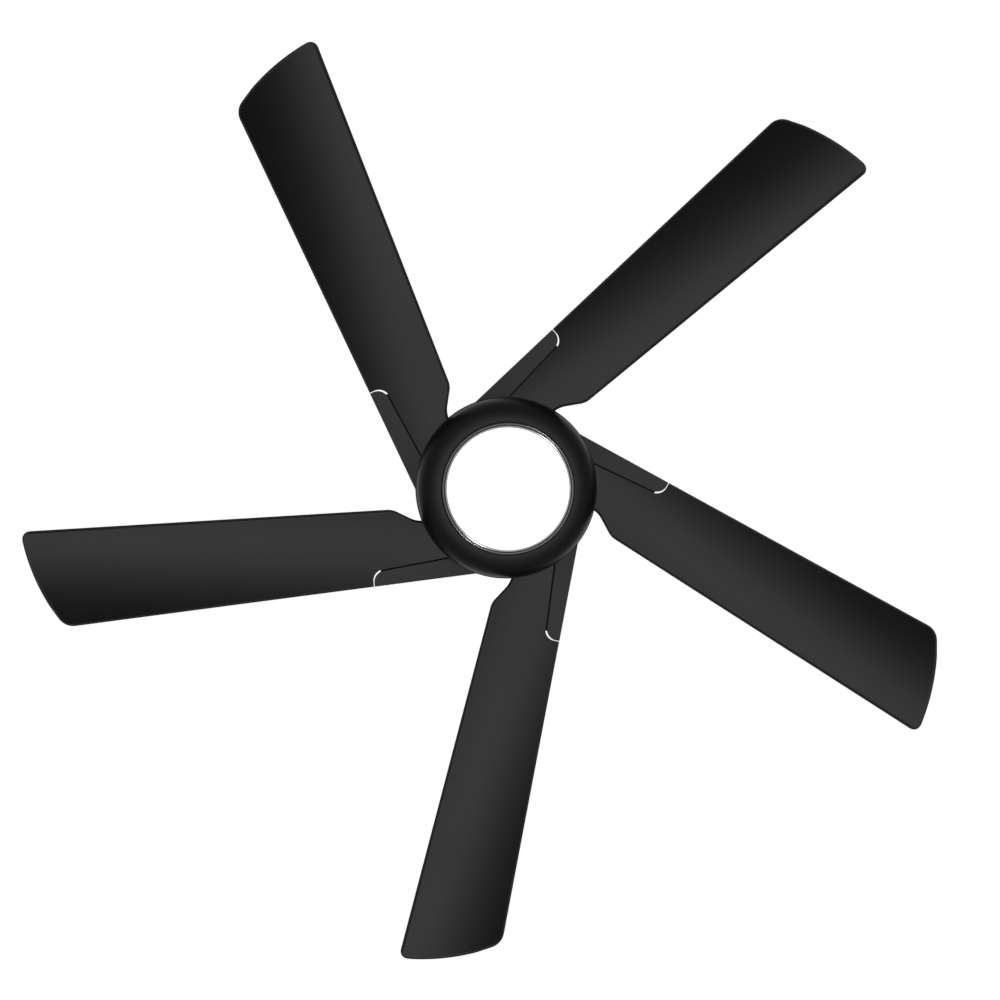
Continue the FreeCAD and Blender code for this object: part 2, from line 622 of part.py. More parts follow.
node("supply_leads", grouped([turned_copy(lead, "half_turn*%d/4" % step) for step in (1, 3, 5)]))

# Upper motor housing and its screws.
housing_shell = sheet_bell("housing_top", "housing_bottom", "housing_radius", "housing_mouth", "housing_wall",
                           "housing_round", False)
housing_holes = ring_of(post("small_hole", "seat_outer", x="housing_screw_ring", z="-yoke_bottom"),
                        "housing_screw_count")
node("motor_housing", cut(housing_shell, *housing_holes))
housing_shank = post("small_shank", "yoke_bottom-housing_top+canopy_gap", x="housing_screw_ring", z="-yoke_bottom")
housing_head = post("small_head", "small_head_height", x="housing_screw_ring", z="-housing_top+canopy_gap/2")
node("housing_screws", grouped(ring_of(fused(housing_shank, housing_head), "housing_screw_count")))

# Motor: fixed core and windings, turning shell, magnets, flange and bearings.
core_block = fixed_ring("shaft_hole", "core_radius", "core_top", "core_bottom")
slot_depth = "core_bottom-core_top+plate_thickness*2"
slot_z = "-core_bottom-plate_thickness"
slot_round = post("core_slot_radius", slot_depth, x="core_slot_circle", z=slot_z)
slot_mouth = block("core_radius", "core_slot_mouth", slot_depth, "core_slot_circle", "-core_slot_mouth/2", slot_z)
core_slot = fused(slot_round, slot_mouth)
node("stator_core", cut(core_block, *ring_of(core_slot, "core_slots")))
upper_coil = fixed_ring("coil_inner", "coil_outer", "core_top-coil_gap-coil_height", "core_top-coil_gap")
lower_coil = fixed_ring("coil_inner", "coil_outer", "core_bottom+coil_gap", "core_bottom+coil_gap+coil_height")
node("stator_windings", grouped([upper_coil, lower_coil]))
shell_corners = [("race_seat", "boss_top"), ("boss_radius", "boss_top"), ("boss_radius", "shell_top"),
                 ("shell_radius", "shell_top"), ("shell_radius", "shell_bottom"), ("shell_inside", "shell_bottom"),
                 ("shell_inside", "shell_under"), ("boss_radius", "shell_under"), ("boss_radius", "boss_low"),
                 ("race_seat", "boss_low")]
node("rotor_shell", turned(shell_corners))
node("rotor_magnets", fixed_ring("magnet_inner", "magnet_outer", "magnet_top", "magnet_bottom"))
flange_corners = [("race_seat", "flange_boss_top"), ("boss_radius", "flange_boss_top"),
                  ("boss_radius", "flange_top"), ("flange_radius", "flange_top"),
                  ("flange_radius", "flange_bottom"), ("race_seat", "flange_bottom")]
inner_races = []
outer_races = []
bearing_balls = []
for bottom in ("upper_bearing", "lower_bearing"):
    top = "%s-race_height" % bottom
    inner_races.append(fixed_ring("shaft_radius+coil_gap/10", "race_inner", top, bottom))
    outer_races.append(fixed_ring("race_outer", "race_rim", top, bottom))
    one_ball = ball("bearing_ball", "bearing_circle", "0", "-%s+race_height/2" % bottom)
    bearing_balls += ring_of(one_ball, "bearing_count")
node("bearing_inner_races", grouped(inner_races))
node("bearing_outer_races", grouped(outer_races))
node("bearing_balls", grouped(bearing_balls))
flange_holes = []
arm_screws = []
arm_holes = []
for across in ("pad_screw_inner", "pad_screw_outer"):
    depth = "-(pad_top+pad_height)"
    arm_holes.append(post("medium_hole", "slab_height", x="pad_screw_x", y="-" + across, z="-slab_top-slab_height"))
    flange_holes.append(post("medium_tapped", "slab_height", x="pad_screw_x", y="-" + across,
                             z="-slab_top-slab_height"))
    shank = post("medium_shank", "pad_top+pad_height-pad_screw_top", x="pad_screw_x", y="-" + across, z=depth)
    head = post("medium_head", "medium_head_height", x="pad_screw_x", y="-" + across,
                z=depth + "-medium_head_height-coil_gap/3")
    neck = post("medium_shank", "coil_gap*2", x="pad_screw_x", y="-" + across, z=depth + "-coil_gap")
    arm_screws.append(fused(shank, neck, head))
flange_tools = ring_of(grouped(flange_holes), "blade_count", "first_angle")
node("rotor_flange", cut(turned(flange_corners), *flange_tools))
node("blade_arm_screws", grouped(ring_of(grouped(arm_screws), "blade_count", "first_angle")))

# One blade in its own frame: X outwards, the leading edge on the low Y side, cambered about a long axis.
slab_low = "slab_top+slab_height"


def on_edge_one(x):
    """Distance of the leading edge at x."""
    return "-(edge_one_offset+edge_slope*%s)" % x


def on_edge_two(x):
    """Distance of the trailing edge at x."""
    return "edge_slope*%s-edge_two_offset" % x


def camber_bar(extra):
    """The camber cylinder, grown by a distance."""
    lean = Vector(1, amount_of("camber_lean_y"), -amount_of("camber_lean_down"))
    turn = Rotation(Vector(0, 0, 1), lean)
    return post("camber_radius+(%s)" % extra, "camber_length", y="camber_axis_y", z="-camber_axis_depth",
                turn=turn)


blade_corners = [("blade_start", on_edge_one("blade_start")), ("tip_one_x", on_edge_one("tip_one_x")),
                 ("tip_two_x", on_edge_two("tip_two_x")), ("curve_out_x", on_edge_two("curve_out_x")),
                 ("curve_in_x", "-root_side_y"), ("root_side_x", "-root_side_y")]
blade_slab = raised(blade_corners, slab_low, "slab_height", {1: "tip_arc"})
blade_rounds = ("tip_one_round", "tip_two_round", "curve_out_round", "curve_in_round")
for (across, along), corner in zip(blade_corners[1:5], blade_rounds):
    rounded_upright(blade_slab, across, along, corner)
blade_skin = cut(camber_bar("blade_thickness/2"), camber_bar("-blade_thickness/2"))


def arm_outline(end, gap, margin):
    """Outline of the arm strip, or of the recess it lies in."""
    inner_near = "-(arm_line+arm_slope*arm_start)+%s" % gap
    inner_far = "-(arm_line+arm_slope*arm_end)+%s" % gap
    outer_near = on_edge_one("arm_start") + "-" + margin
    outer_far = on_edge_one("arm_end") + "-" + margin
    corners = [("arm_start", outer_near), (end, outer_far), (end, inner_far), ("arm_start", inner_near)]
    body = raised(corners, slab_low, "slab_height")
    return rounded_upright(body, end, inner_far, "arm_round")


recess_slab = arm_outline("arm_end+recess_end_gap", "recess_gap", "recess_margin")
recess = shared(recess_slab, camber_bar("arm_top+recess_extra"))
slot_core = arm_outline("arm_end", "0", "2*recess_margin")
slot_side = "2*(edge_one_offset+edge_slope*arm_end)"
slot_zone = block("2*slot_reach", slot_side, "slab_height", "arm_end-slot_reach", "-" + slot_side,
                  "-(%s)" % slab_low)
end_slot = shared(cut(recess_slab, slot_core), slot_zone)
root_disc = post("root_cut", "slab_height", z="-(%s)" % slab_low)
blade_screw_parts = []
blade_screw_holes = []
arm_blind_holes = []
for step in range(int(amount_of("blade_screw_count"))):
    across = "blade_screw_x+blade_screw_pitch*%d" % step
    along = "blade_screw_y+blade_screw_drift*%d" % step
    beside = "(%s-(camber_axis_y)-camber_lean_y*(%s))/sqrt(1+camber_lean_y^2)" % (along, across)
    rise = "sqrt((camber_radius+blade_thickness/2)^2-(%s)^2)" % beside
    seat = "-camber_axis_depth-camber_lean_down*(%s)+%s+blade_screw_seat" % (across, rise)
    low = "%s-blade_screw_reach" % seat
    blade_screw_holes.append(post("small_hole", "slab_height", across, along, low))
    arm_blind_holes.append(post("small_tapped", "slab_height", across, along, low + "-coil_gap/3"))
    stem = post("small_shank", "blade_screw_reach+coil_gap", across, along, low)
    cap = post("small_head", "small_head_height", across, along, seat)
    blade_screw_parts.append(fused(stem, cap))
blade_solid = cut(shared(blade_slab, blade_skin), fused(recess, end_slot, root_disc, *blade_screw_holes))
arm_skin = cut(camber_bar("arm_top"), camber_bar("-blade_thickness/2"))
arm_strip = shared(arm_outline("arm_end", "0", "0"), arm_skin)
pad_corners = [("pad_x_near", "-pad_y_near"), ("pad_x_low", "-pad_y_low"), ("pad_x_far", "-pad_y_far"),
               ("pad_x_mid", "-pad_y_top"), ("pad_x_near", "-pad_y_top")]
arm_pad = raised(pad_corners, "pad_top+pad_height", "pad_height")
arm_solid = cut(fused(arm_strip, arm_pad), fused(*arm_holes, *arm_blind_holes))
for step in range(int(amount_of("blade_count"))):
    angle = "first_angle+blade_step*%d" % step
    node("blade_%d" % (step + 1), turned_copy(blade_solid, angle))
    node("blade_arm_%d" % (step + 1), turned_copy(arm_solid, angle))
node("blade_screws", grouped(ring_of(grouped(blade_screw_parts), "blade_count", "first_angle")))

# Light housing, nut, driver, board and lens.
lamp_corners = [("lamp_shaft_hole", "lamp_top"), ("lamp_lip", "lamp_top"), ("lamp_lip", "lamp_lip_low"),
                ("lamp_radius", "lamp_lip_low+lamp_lip_bevel"), ("lamp_mouth", "lamp_bottom"),
                ("lamp_mouth", "lamp_bottom-lamp_wall"), ("lamp_radius-lamp_wall", "lamp_lip_low+lamp_lip_bevel"),
                ("lamp_radius-lamp_wall", "lamp_top+lamp_wall"), ("lamp_shaft_hole", "lamp_top+lamp_wall")]
node("light_housing", turned(lamp_corners, {3: "lamp_round", 5: "lamp_round-lamp_wall"}))
hexagon = doc.addObject("Part::Prism", "Hexagon")
bind(hexagon, Circumradius="nut_across", Height="nut_height")
place(hexagon, "0", "0", "-(nut_top+nut_height)")
node("shaft_nut", cut(hexagon, post("shaft_hole", "nut_height*3", z="-(nut_top+nut_height*2)")))
driver_left = "-driver_length/2"
driver_corners = [(driver_left, "driver_offset"), ("driver_length/2", "driver_offset"),
                  ("driver_length/2", "driver_offset+driver_width"), (driver_left, "driver_offset+driver_width")]
driver = raised(driver_corners, "driver_top+driver_height", "driver_height")
for across, along in driver_corners:
    rounded_upright(driver, across, along, "receiver_round")
node("lamp_driver", driver)
standoff = post("standoff_radius", "pan_top-lamp_top-lamp_wall-standoff_gap*2", x="standoff_ring",
                z="-pan_top+standoff_gap")
node("pan_standoffs", grouped(ring_of(standoff, "standoff_count", "half_turn/2")))
node("lamp_pan", fixed_ring("shaft_radius", "pan_radius", "pan_top", "pan_top+pan_thickness"))
board_disc = fixed_ring("shaft_radius", "board_radius", "board_top", "board_top+board_thickness")
board_holes = ring_of(post("small_hole", "slab_height", x="board_screw_ring", z="-board_top-slab_height/2"),
                      "standoff_count", "half_turn/6")
node("lamp_board", cut(board_disc, *board_holes))
screw_length = "board_screw_low-pan_top-pan_thickness-standoff_gap"
board_stem = post("small_shank", screw_length, x="board_screw_ring", z="-board_screw_low")
board_head = post("small_head", "small_head_height/2", x="board_screw_ring",
                  z="-board_screw_low-small_head_height/4")
node("lamp_board_screws", grouped(ring_of(fused(board_stem, board_head), "standoff_count", "half_turn/6")))
chips = []
for ring_step in range(int(amount_of("chip_ring_count"))):
    chip_x = "chip_ring_first+chip_ring_pitch*%d-chip_length/2" % ring_step
    chip = block("chip_length", "chip_width", "chip_height", chip_x, "-chip_width/2", "-(chip_top+chip_height)")
    total = "(chip_ring_step*%d)" % (ring_step + 1)
    chips += ring_of(chip, total)
node("lamp_chips", grouped(chips))
node("lens_gasket", fixed_ring("gasket_inner", "gasket_outer", "ring_top-coil_gap-gasket_height",
                               "ring_top-coil_gap"))
ring_corners = [("ring_inner", "ring_top"), ("ring_flange", "ring_top"), ("ring_flange", "ring_flange_low"),
                ("ring_outer", "ring_flange_low"), ("ring_outer", "ring_bottom"),
                ("ring_inner+ring_bevel", "ring_bottom"), ("ring_inner", "ring_bottom-ring_bevel")]
notch = block("notch_reach-lens_tab_root", "notch_width", "slab_height", "lens_tab_root", "-notch_width/2",
              "-ring_bottom-slab_height/2")
notches = ring_of(notch, "lens_tab_count", "notch_angle+first_angle")
node("lens_trim_ring", cut(turned(ring_corners), *notches))
lens_slab = post("lens_radius", "lens_slab", z="-(lens_slab_top+lens_slab)")
lens_cap = shared(ball("lens_sphere", "0", "0", "-lens_centre"), lens_slab)
lens_shell = cut(lens_cap, ball("lens_sphere-lens_wall", "0", "0", "-lens_centre"))
lens_skirt = fixed_ring("skirt_inside", "skirt_radius", "skirt_top", "skirt_bottom")
lens_tab = block("lens_tab_reach-lens_tab_root", "lens_tab_width", "lens_tab_height", "lens_tab_root",
                 "-lens_tab_width/2", "-(skirt_top+lens_tab_height)")
node("lens", fused(lens_shell, lens_skirt, *ring_of(lens_tab, "lens_tab_count", "first_angle")))

doc.recompute()
for item in doc.Objects:
    if "Invalid" in item.State or "Error" in item.State:
        raise RuntimeError("%s did not recompute: %s" % (item.Label, item.State))
os.makedirs("parts", exist_ok=True)
for item in nodes:
    shape = item.Shape
    if shape.isNull() or not shape.isValid():
        raise RuntimeError("%s has no valid shape" % item.Label)
    shape.exportStep(os.path.join("parts", item.Label + ".step"))
    box = shape.BoundBox
    report = (item.Label, len(shape.Solids), shape.Volume, box.ZMin, box.ZMax)
    print("%-22s solids %3d volume %12.1f z %8.2f %8.2f" % report)
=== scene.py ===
import bmesh
import bpy
import math
from bpy.props import FloatProperty, FloatVectorProperty, IntProperty, PointerProperty
from mathutils import Matrix, Vector


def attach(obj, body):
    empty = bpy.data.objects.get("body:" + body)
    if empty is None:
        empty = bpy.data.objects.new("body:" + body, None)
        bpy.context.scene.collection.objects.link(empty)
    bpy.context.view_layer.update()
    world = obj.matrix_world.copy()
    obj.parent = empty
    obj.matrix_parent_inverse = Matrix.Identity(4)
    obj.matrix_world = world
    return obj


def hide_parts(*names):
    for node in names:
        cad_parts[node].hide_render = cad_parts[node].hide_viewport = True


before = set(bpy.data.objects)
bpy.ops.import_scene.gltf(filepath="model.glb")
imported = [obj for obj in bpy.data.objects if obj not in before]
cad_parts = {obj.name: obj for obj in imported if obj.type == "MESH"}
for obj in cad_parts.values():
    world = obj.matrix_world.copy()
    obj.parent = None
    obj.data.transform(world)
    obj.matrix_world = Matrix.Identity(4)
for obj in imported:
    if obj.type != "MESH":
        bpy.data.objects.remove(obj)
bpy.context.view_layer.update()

bl_info = {
    "name": "Five-blade ceiling fan with light",
    "version": (1, 0, 0),
    "blender": (4, 5, 0),
    "location": "3D View > Sidebar > Ceiling fan",
    "description": "Blades, housings, lens, finishes and stage of a ceiling fan",
    "category": "Object",
}

MM = 0.001
FINISHES = {}

# Blade arms, in metres, in one blade's frame.
ARM_LINE = 82.2 * MM
ARM_SLOPE = 0.0939
ARM_ROUND = 14 * MM
ARM_TOP = 0.4 * MM
RECESS_TOP = 0.7 * MM
CUT_MARGIN = 12 * MM
SLOT_REACH = 10 * MM

# The lens's two curves, in millimetres: radii, and depth of their centre.
LENS_OUTSIDE = 303.5
LENS_INSIDE = 301
LENS_CENTRE = 45.5
LENS_EDGE = 81.7
LENS_STEPS = 30

# Screw heads.
HEAD_RADIUS = 4.4 * MM
HEAD_HEIGHT = 2.5 * MM
HEAD_DOME = 2.2 * MM

FAN_MIDDLE = Vector((0, 0, -0.27))


# Sizes and colours a user would change.

class FanSizes(bpy.types.PropertyGroup):
    """Sizes of the fan's visible pieces."""

    first_angle: FloatProperty(name="First blade", description="Direction of the first blade",
                               default=math.radians(-113.3), subtype="ANGLE", unit="ROTATION")
    blade_count: IntProperty(name="Blades", description="Number of blades", default=5, min=2)
    blade_thickness: FloatProperty(name="Blade thickness", description="Thickness of a blade",
                                   default=5 * MM, unit="LENGTH")
    camber_radius: FloatProperty(name="Camber radius", description="Radius of the surface a blade follows",
                                 default=600 * MM, unit="LENGTH")
    edge_round: FloatProperty(name="Blade edge round", description="Width of a blade's rounded rim",
                              default=2.4 * MM, unit="LENGTH")
    arm_end: FloatProperty(name="Arm end", description="Outer end of a blade arm from the fan's axis",
                           default=191 * MM, unit="LENGTH")
    arm_gap: FloatProperty(name="Arm gap", description="Shadow gap beside a blade arm",
                           default=2.2 * MM, unit="LENGTH")
    arm_end_gap: FloatProperty(name="Arm end gap", description="Open slot past a blade arm's end",
                               default=1 * MM, unit="LENGTH")
    turn_steps: IntProperty(name="Turn steps", description="Steps round a turned piece", default=192, min=24)
    camera_distance: FloatProperty(name="Camera distance", description="Camera to the blades",
                                   default=4.04, unit="LENGTH")
    view_width: FloatProperty(name="View width", description="Width seen at the blades",
                              default=1.3664, unit="LENGTH")
    floor_depth: FloatProperty(name="Floor depth", description="Floor below the ceiling plane",
                               default=5.2, unit="LENGTH")


class FanColours(bpy.types.PropertyGroup):
    """Colours of the fan's finishes."""

    blade: FloatVectorProperty(name="Blade", description="Satin black blade",
                               default=(0.0098, 0.0104, 0.0100), size=3, subtype="COLOR", min=0, max=1)
    arm: FloatVectorProperty(name="Blade arm", description="Powder-coated arm",
                             default=(0.043, 0.043, 0.0435), size=3, subtype="COLOR", min=0, max=1)
    housing: FloatVectorProperty(name="Housing", description="Satin black paint",
                                 default=(0.0100, 0.0100, 0.0102), size=3, subtype="COLOR", min=0, max=1)
    ring: FloatVectorProperty(name="Trim ring", description="Polished metal ring", default=(0.30, 0.30, 0.31),
                              size=3, subtype="COLOR", min=0, max=1)
    lens: FloatVectorProperty(name="Lens", description="Opal lens", default=(0.93, 0.93, 0.925),
                              size=3, subtype="COLOR", min=0, max=1)
    zinc: FloatVectorProperty(name="Zinc", description="Zinc-plated steel", default=(0.58, 0.585, 0.57),
                              size=3, subtype="COLOR", min=0, max=1)
    floor: FloatVectorProperty(name="Floor", description="Pale floor", default=(0.83, 0.83, 0.82),
                               size=3, subtype="COLOR", min=0, max=1)


# Shader maths.

class Wire:
    """A value in a finish's node tree; arithmetic on it adds Math nodes."""

    def __init__(self, finish, socket):
        self.finish = finish
        self.socket = socket

    def maths(self, operation, *values):
        return self.finish.node("ShaderNodeMath", {"operation": operation}, dict(enumerate(values)))

    def __add__(self, other):
        return self.maths("ADD", self, other)

    def __radd__(self, other):
        return self.maths("ADD", other, self)

    def __sub__(self, other):
        return self.maths("SUBTRACT", self, other)

    def __rsub__(self, other):
        return self.maths("SUBTRACT", other, self)

    def __mul__(self, other):
        return self.maths("MULTIPLY", self, other)

    def __rmul__(self, other):
        return self.maths("MULTIPLY", other, self)

    def between(self, low, high):
        """0 below low, 1 above high, smooth between."""
        return self.finish.node("ShaderNodeMapRange", {"interpolation_type": "SMOOTHSTEP"},
                                {"Value": self, "From Min": low, "From Max": high}, "Result")


class Finish:
    """A material or world whose nodes are added one call at a time."""

    def __init__(self, owner):
        self.owner = owner
        owner.use_nodes = True
        self.tree = owner.node_tree
        self.tree.nodes.clear()

    def node(self, kind, settings=None, sockets=None, output=0):
        """Add a node: its settings first, then its sockets' values or links; returns one output."""
        made = self.tree.nodes.new(kind)
        for name, value in (settings or {}).items():
            if name == "stops":
                self.set_stops(made.color_ramp, value)
            else:
                setattr(made, name, value)
        for name, value in (sockets or {}).items():
            if isinstance(value, Wire):
                self.tree.links.new(value.socket, made.inputs[name])
            else:
                made.inputs[name].default_value = value
        return Wire(self, made.outputs[output]) if len(made.outputs) else made

    def set_stops(self, ramp, stops):
        """Give a colour ramp its stops."""
        while len(ramp.elements) > 1:
            ramp.elements.remove(ramp.elements[-1])
        ramp.elements[0].position, ramp.elements[0].color = stops[0]
        for position, colour in stops[1:]:
            ramp.elements.new(position).color = colour

    def place(self):
        """Position on the piece, in metres."""
        return self.node("ShaderNodeTexCoord", output="Object")

    def noise(self, scale, detail=2.0, roughness=0.5, vector=None):
        """Soft noise, so many features to the metre."""
        sockets = {"Vector": vector or self.place(), "Scale": scale, "Detail": detail, "Roughness": roughness}
        return self.node("ShaderNodeTexNoise", {}, sockets, "Fac")

    def stretched(self, x, y, z):
        """Position scaled by its own factor along each axis."""
        return self.node("ShaderNodeVectorMath", {"operation": "MULTIPLY"}, {0: self.place(), 1: (x, y, z)})

    def mix(self, factor, first, second):
        """A colour between two colours."""
        sockets = {"Factor": factor, 6: first, 7: second}
        return self.node("ShaderNodeMix", {"data_type": "RGBA"}, sockets, 2)

    def bump(self, height, strength, distance):
        """A surface normal raised by a height."""
        sockets = {"Strength": strength, "Distance": distance, "Height": height}
        return self.node("ShaderNodeBump", {}, sockets, "Normal")

    def facing_up(self):
        """1 where the surface faces up."""
        normal = self.node("ShaderNodeNewGeometry", output="Normal")
        return self.node("ShaderNodeSeparateXYZ", {}, {"Vector": normal}, "Z")

    def surface(self, **sockets):
        """The main shader and the output."""
        named = {name.replace("_", " "): value for name, value in sockets.items()}
        shader = self.node("ShaderNodeBsdfPrincipled", {}, named, "BSDF")
        self.node("ShaderNodeOutputMaterial", {}, {"Surface": shader})


def rgba(colour, gain=1.0):
    """A colour with full alpha, brightened by a gain."""
    return tuple(part * gain for part in colour) + (1.0,)


def finish(name):
    """A new empty finish kept under its name."""
    made = Finish(bpy.data.materials.new(name))
    FINISHES[name] = made.owner
    return made


def dusted(made, base, amount):
    """A base colour with faint dust on what faces up."""
    dust = made.facing_up().between(0.55, 0.98) * made.noise(38, 5, 0.65).between(0.42, 0.75) * amount
    return made.mix(dust, base, (0.16, 0.155, 0.148, 1.0))


def satin_black(name, colour, roughness, grain, grain_height, dust=0.07, spread=0.09):
    """Satin black with fine texture, cloudy gloss and faint dust on top."""
    made = finish(name)
    broad = made.noise(7.5, 4, 0.6)
    fine = made.noise(grain, 2, 0.55)
    tone = made.mix(broad, rgba(colour, 0.9), rgba(colour, 1.12))
    gloss = roughness + (broad - 0.5) * spread + (fine - 0.5) * 0.06
    relief = made.bump(fine, 0.35, grain_height)
    made.surface(Base_Color=dusted(made, tone, dust), Roughness=gloss, Normal=relief)
    return made


def metal(name, colour, roughness, grain_scale, grain_height, vector_scale=(1, 1, 1), metallic=1.0):
    """Bare or plated metal with drawn or cast grain."""
    made = finish(name)
    grain = made.noise(grain_scale, 3, 0.6, made.stretched(*vector_scale))
    cloud = made.noise(24, 3, 0.5)
    tone = made.mix(cloud, rgba(colour, 0.86), rgba(colour, 1.08))
    gloss = roughness + (grain - 0.5) * 0.16 + (cloud - 0.5) * 0.08
    relief = made.bump(grain, 0.3, grain_height)
    made.surface(Base_Color=tone, Roughness=gloss, Metallic=metallic, Normal=relief)


def moulded(name, colour, roughness, grain=700, height=0.00006):
    """Moulded plastic or rubber."""
    made = finish(name)
    cloud = made.noise(18, 3, 0.5)
    fine = made.noise(grain, 2, 0.5)
    tone = made.mix(cloud, rgba(colour, 0.88), rgba(colour, 1.1))
    gloss = roughness + (fine - 0.5) * 0.12
    made.surface(Base_Color=tone, Roughness=gloss, Normal=made.bump(fine, 0.3, height))


def ring_polish(colours):
    """Polished ring with faint turned lines."""
    made = finish("ring_polish")
    flat = made.node("ShaderNodeVectorMath", {"operation": "MULTIPLY"}, {0: made.place(), 1: (1, 1, 0)})
    out = made.node("ShaderNodeVectorMath", {"operation": "LENGTH"}, {0: flat}, "Value")
    lines = made.node("ShaderNodeTexNoise", {"noise_dimensions": "1D"},
                      {"W": out * 5200, "Detail": 2.0}, "Fac")
    cloud = made.noise(30, 3)
    tone = made.mix(cloud, rgba(colours.ring, 0.9), rgba(colours.ring, 1.1))
    made.surface(Base_Color=tone, Metallic=1.0, Roughness=0.2 + (lines - 0.5) * 0.1,
                 Normal=made.bump(lines, 0.2, 0.00003))


def opal_lens(colours):
    """Lit opal plastic, a little dimmer at its rim."""
    made = finish("opal_lens")
    flat = made.node("ShaderNodeVectorMath", {"operation": "MULTIPLY"}, {0: made.place(), 1: (1, 1, 0)})
    out = made.node("ShaderNodeVectorMath", {"operation": "LENGTH"}, {0: flat}, "Value")
    rim = out.between(0.072, 0.0826)
    frost = made.noise(1500, 2)
    glow = made.mix(rim, (1.0, 1.0, 1.0, 1.0), (0.93, 0.935, 0.94, 1.0))
    made.surface(Base_Color=made.mix(frost, rgba(colours.lens, 0.98), rgba(colours.lens)),
                 Roughness=0.32 + (frost - 0.5) * 0.08, Normal=made.bump(frost, 0.15, 0.00004),
                 Emission_Color=glow, Emission_Strength=1.0)


def wound_copper():
    """Enamelled wire laid round the core."""
    made = finish("wound_copper")
    bands = made.node("ShaderNodeTexWave", {"wave_type": "RINGS", "rings_direction": "Z"},
                      {"Vector": made.place(), "Scale": 160.0, "Distortion": 0.6, "Detail": 1.0}, "Fac")
    made.surface(Base_Color=made.mix(bands, (0.30, 0.09, 0.03, 1), (0.72, 0.30, 0.12, 1)), Metallic=0.8,
                 Roughness=0.3 + bands * 0.1, Normal=made.bump(bands, 0.5, 0.0004))


def lit_chips():
    """Lamp chips that glow."""
    made = finish("lit_chips")
    speck = made.noise(900, 2)
    made.surface(Base_Color=made.mix(speck, (0.9, 0.8, 0.45, 1), (1.0, 0.9, 0.6, 1)), Roughness=0.4,
                 Emission_Color=(1.0, 0.93, 0.8, 1.0), Emission_Strength=3.0)


# Mesh helpers.

def rounded_path(corners, steps=8):
    """Points of a closed outline; each corner is (x, y, radius) and gets an arc of that radius."""
    path = []
    total = len(corners)
    for spot in range(total):
        corner = Vector(corners[spot][:2])
        radius = corners[spot][2]
        before = (Vector(corners[spot - 1][:2]) - corner).normalized()
        after = (Vector(corners[(spot + 1) % total][:2]) - corner).normalized()
        if radius <= 0:
            path.append(corner)
            continue
        half = before.angle(after) / 2
        reach = radius / math.tan(half)
        centre = corner + (before + after).normalized() * (radius / math.sin(half))
        first = corner + before * reach - centre
        last = corner + after * reach - centre
        sweep = first.angle_signed(last)
        for step in range(steps + 1):
            turn = Matrix.Rotation(-sweep * step / steps, 2)
            path.append(centre + turn @ first)
    return path


def arc_points(centre, radius, start, stop, steps):
    """Points of an arc, from one angle to another, in radians."""
    turns = [start + (stop - start) * step / steps for step in range(steps + 1)]
    return [(centre[0] + radius * math.cos(turn), centre[1] + radius * math.sin(turn), 0) for turn in turns]


def finished(name, mesh_data, body, material, nodes=(), sharp=32.0):
    """A piece from a bmesh: smooth, with its finish, riding on its body."""
    mesh = bpy.data.meshes.new(name)
    bmesh.ops.recalc_face_normals(mesh_data, faces=mesh_data.faces[:])
    mesh_data.to_mesh(mesh)
    mesh_data.free()
    mesh.shade_smooth()
    mesh.set_sharp_from_angle(angle=math.radians(sharp))
    piece = bpy.data.objects.new(name, mesh)
    bpy.context.scene.collection.objects.link(piece)
    mesh.materials.append(FINISHES[material])
    if body:
        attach(piece, body)
        if nodes:
            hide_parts(*nodes)
    return piece


def turned_mesh(path, steps):
    """A closed profile of (radius, z) points turned about the fan's axis."""
    shape = bmesh.new()
    rows = []
    for step in range(steps):
        angle = 2 * math.pi * step / steps
        around = (math.cos(angle), math.sin(angle))
        places = [(radius * around[0], radius * around[1], height) for radius, height in path]
        rows.append([shape.verts.new(place) for place in places])
    for step in range(steps):
        this, following = rows[step], rows[(step + 1) % steps]
        for spot in range(len(path)):
            after = (spot + 1) % len(path)
            if path[spot][0] > 1e-7 or path[after][0] > 1e-7:
                shape.faces.new((this[spot], this[after], following[after], following[spot]))
    bmesh.ops.remove_doubles(shape, verts=shape.verts[:], dist=1e-7)
    bmesh.ops.dissolve_degenerate(shape, edges=shape.edges[:], dist=1e-8)
    return shape


def mm_path(corners, steps=8):
    """A rounded profile from (radius, depth, corner radius) in millimetres."""
    return rounded_path([(radius * MM, -depth * MM, corner * MM) for radius, depth, corner in corners], steps)


def applied(piece, modifiers):
    """Apply modifiers given as (type, settings) to a piece."""
    for kind, settings in modifiers:
        added = piece.modifiers.new(kind.title(), kind)
        for name, value in settings.items():
            setattr(added, name, value)
    graph = bpy.context.evaluated_depsgraph_get()
    result = bpy.data.meshes.new_from_object(piece.evaluated_get(graph))
    piece.modifiers.clear()
    piece.data = result
    return piece


def loose_piece(name, shape):
    """A helper object that isn't kept."""
    mesh = bpy.data.meshes.new(name)
    bmesh.ops.recalc_face_normals(shape, faces=shape.faces[:])
    shape.to_mesh(mesh)
    shape.free()
    piece = bpy.data.objects.new(name, mesh)
    bpy.context.scene.collection.objects.link(piece)
    return piece


def discard(piece):
    """Remove a helper object and its mesh."""
    mesh = piece.data
    bpy.data.objects.remove(piece)
    bpy.data.meshes.remove(mesh)


# Blade geometry in one blade's own frame: X outwards, the leading edge on the low Y side.

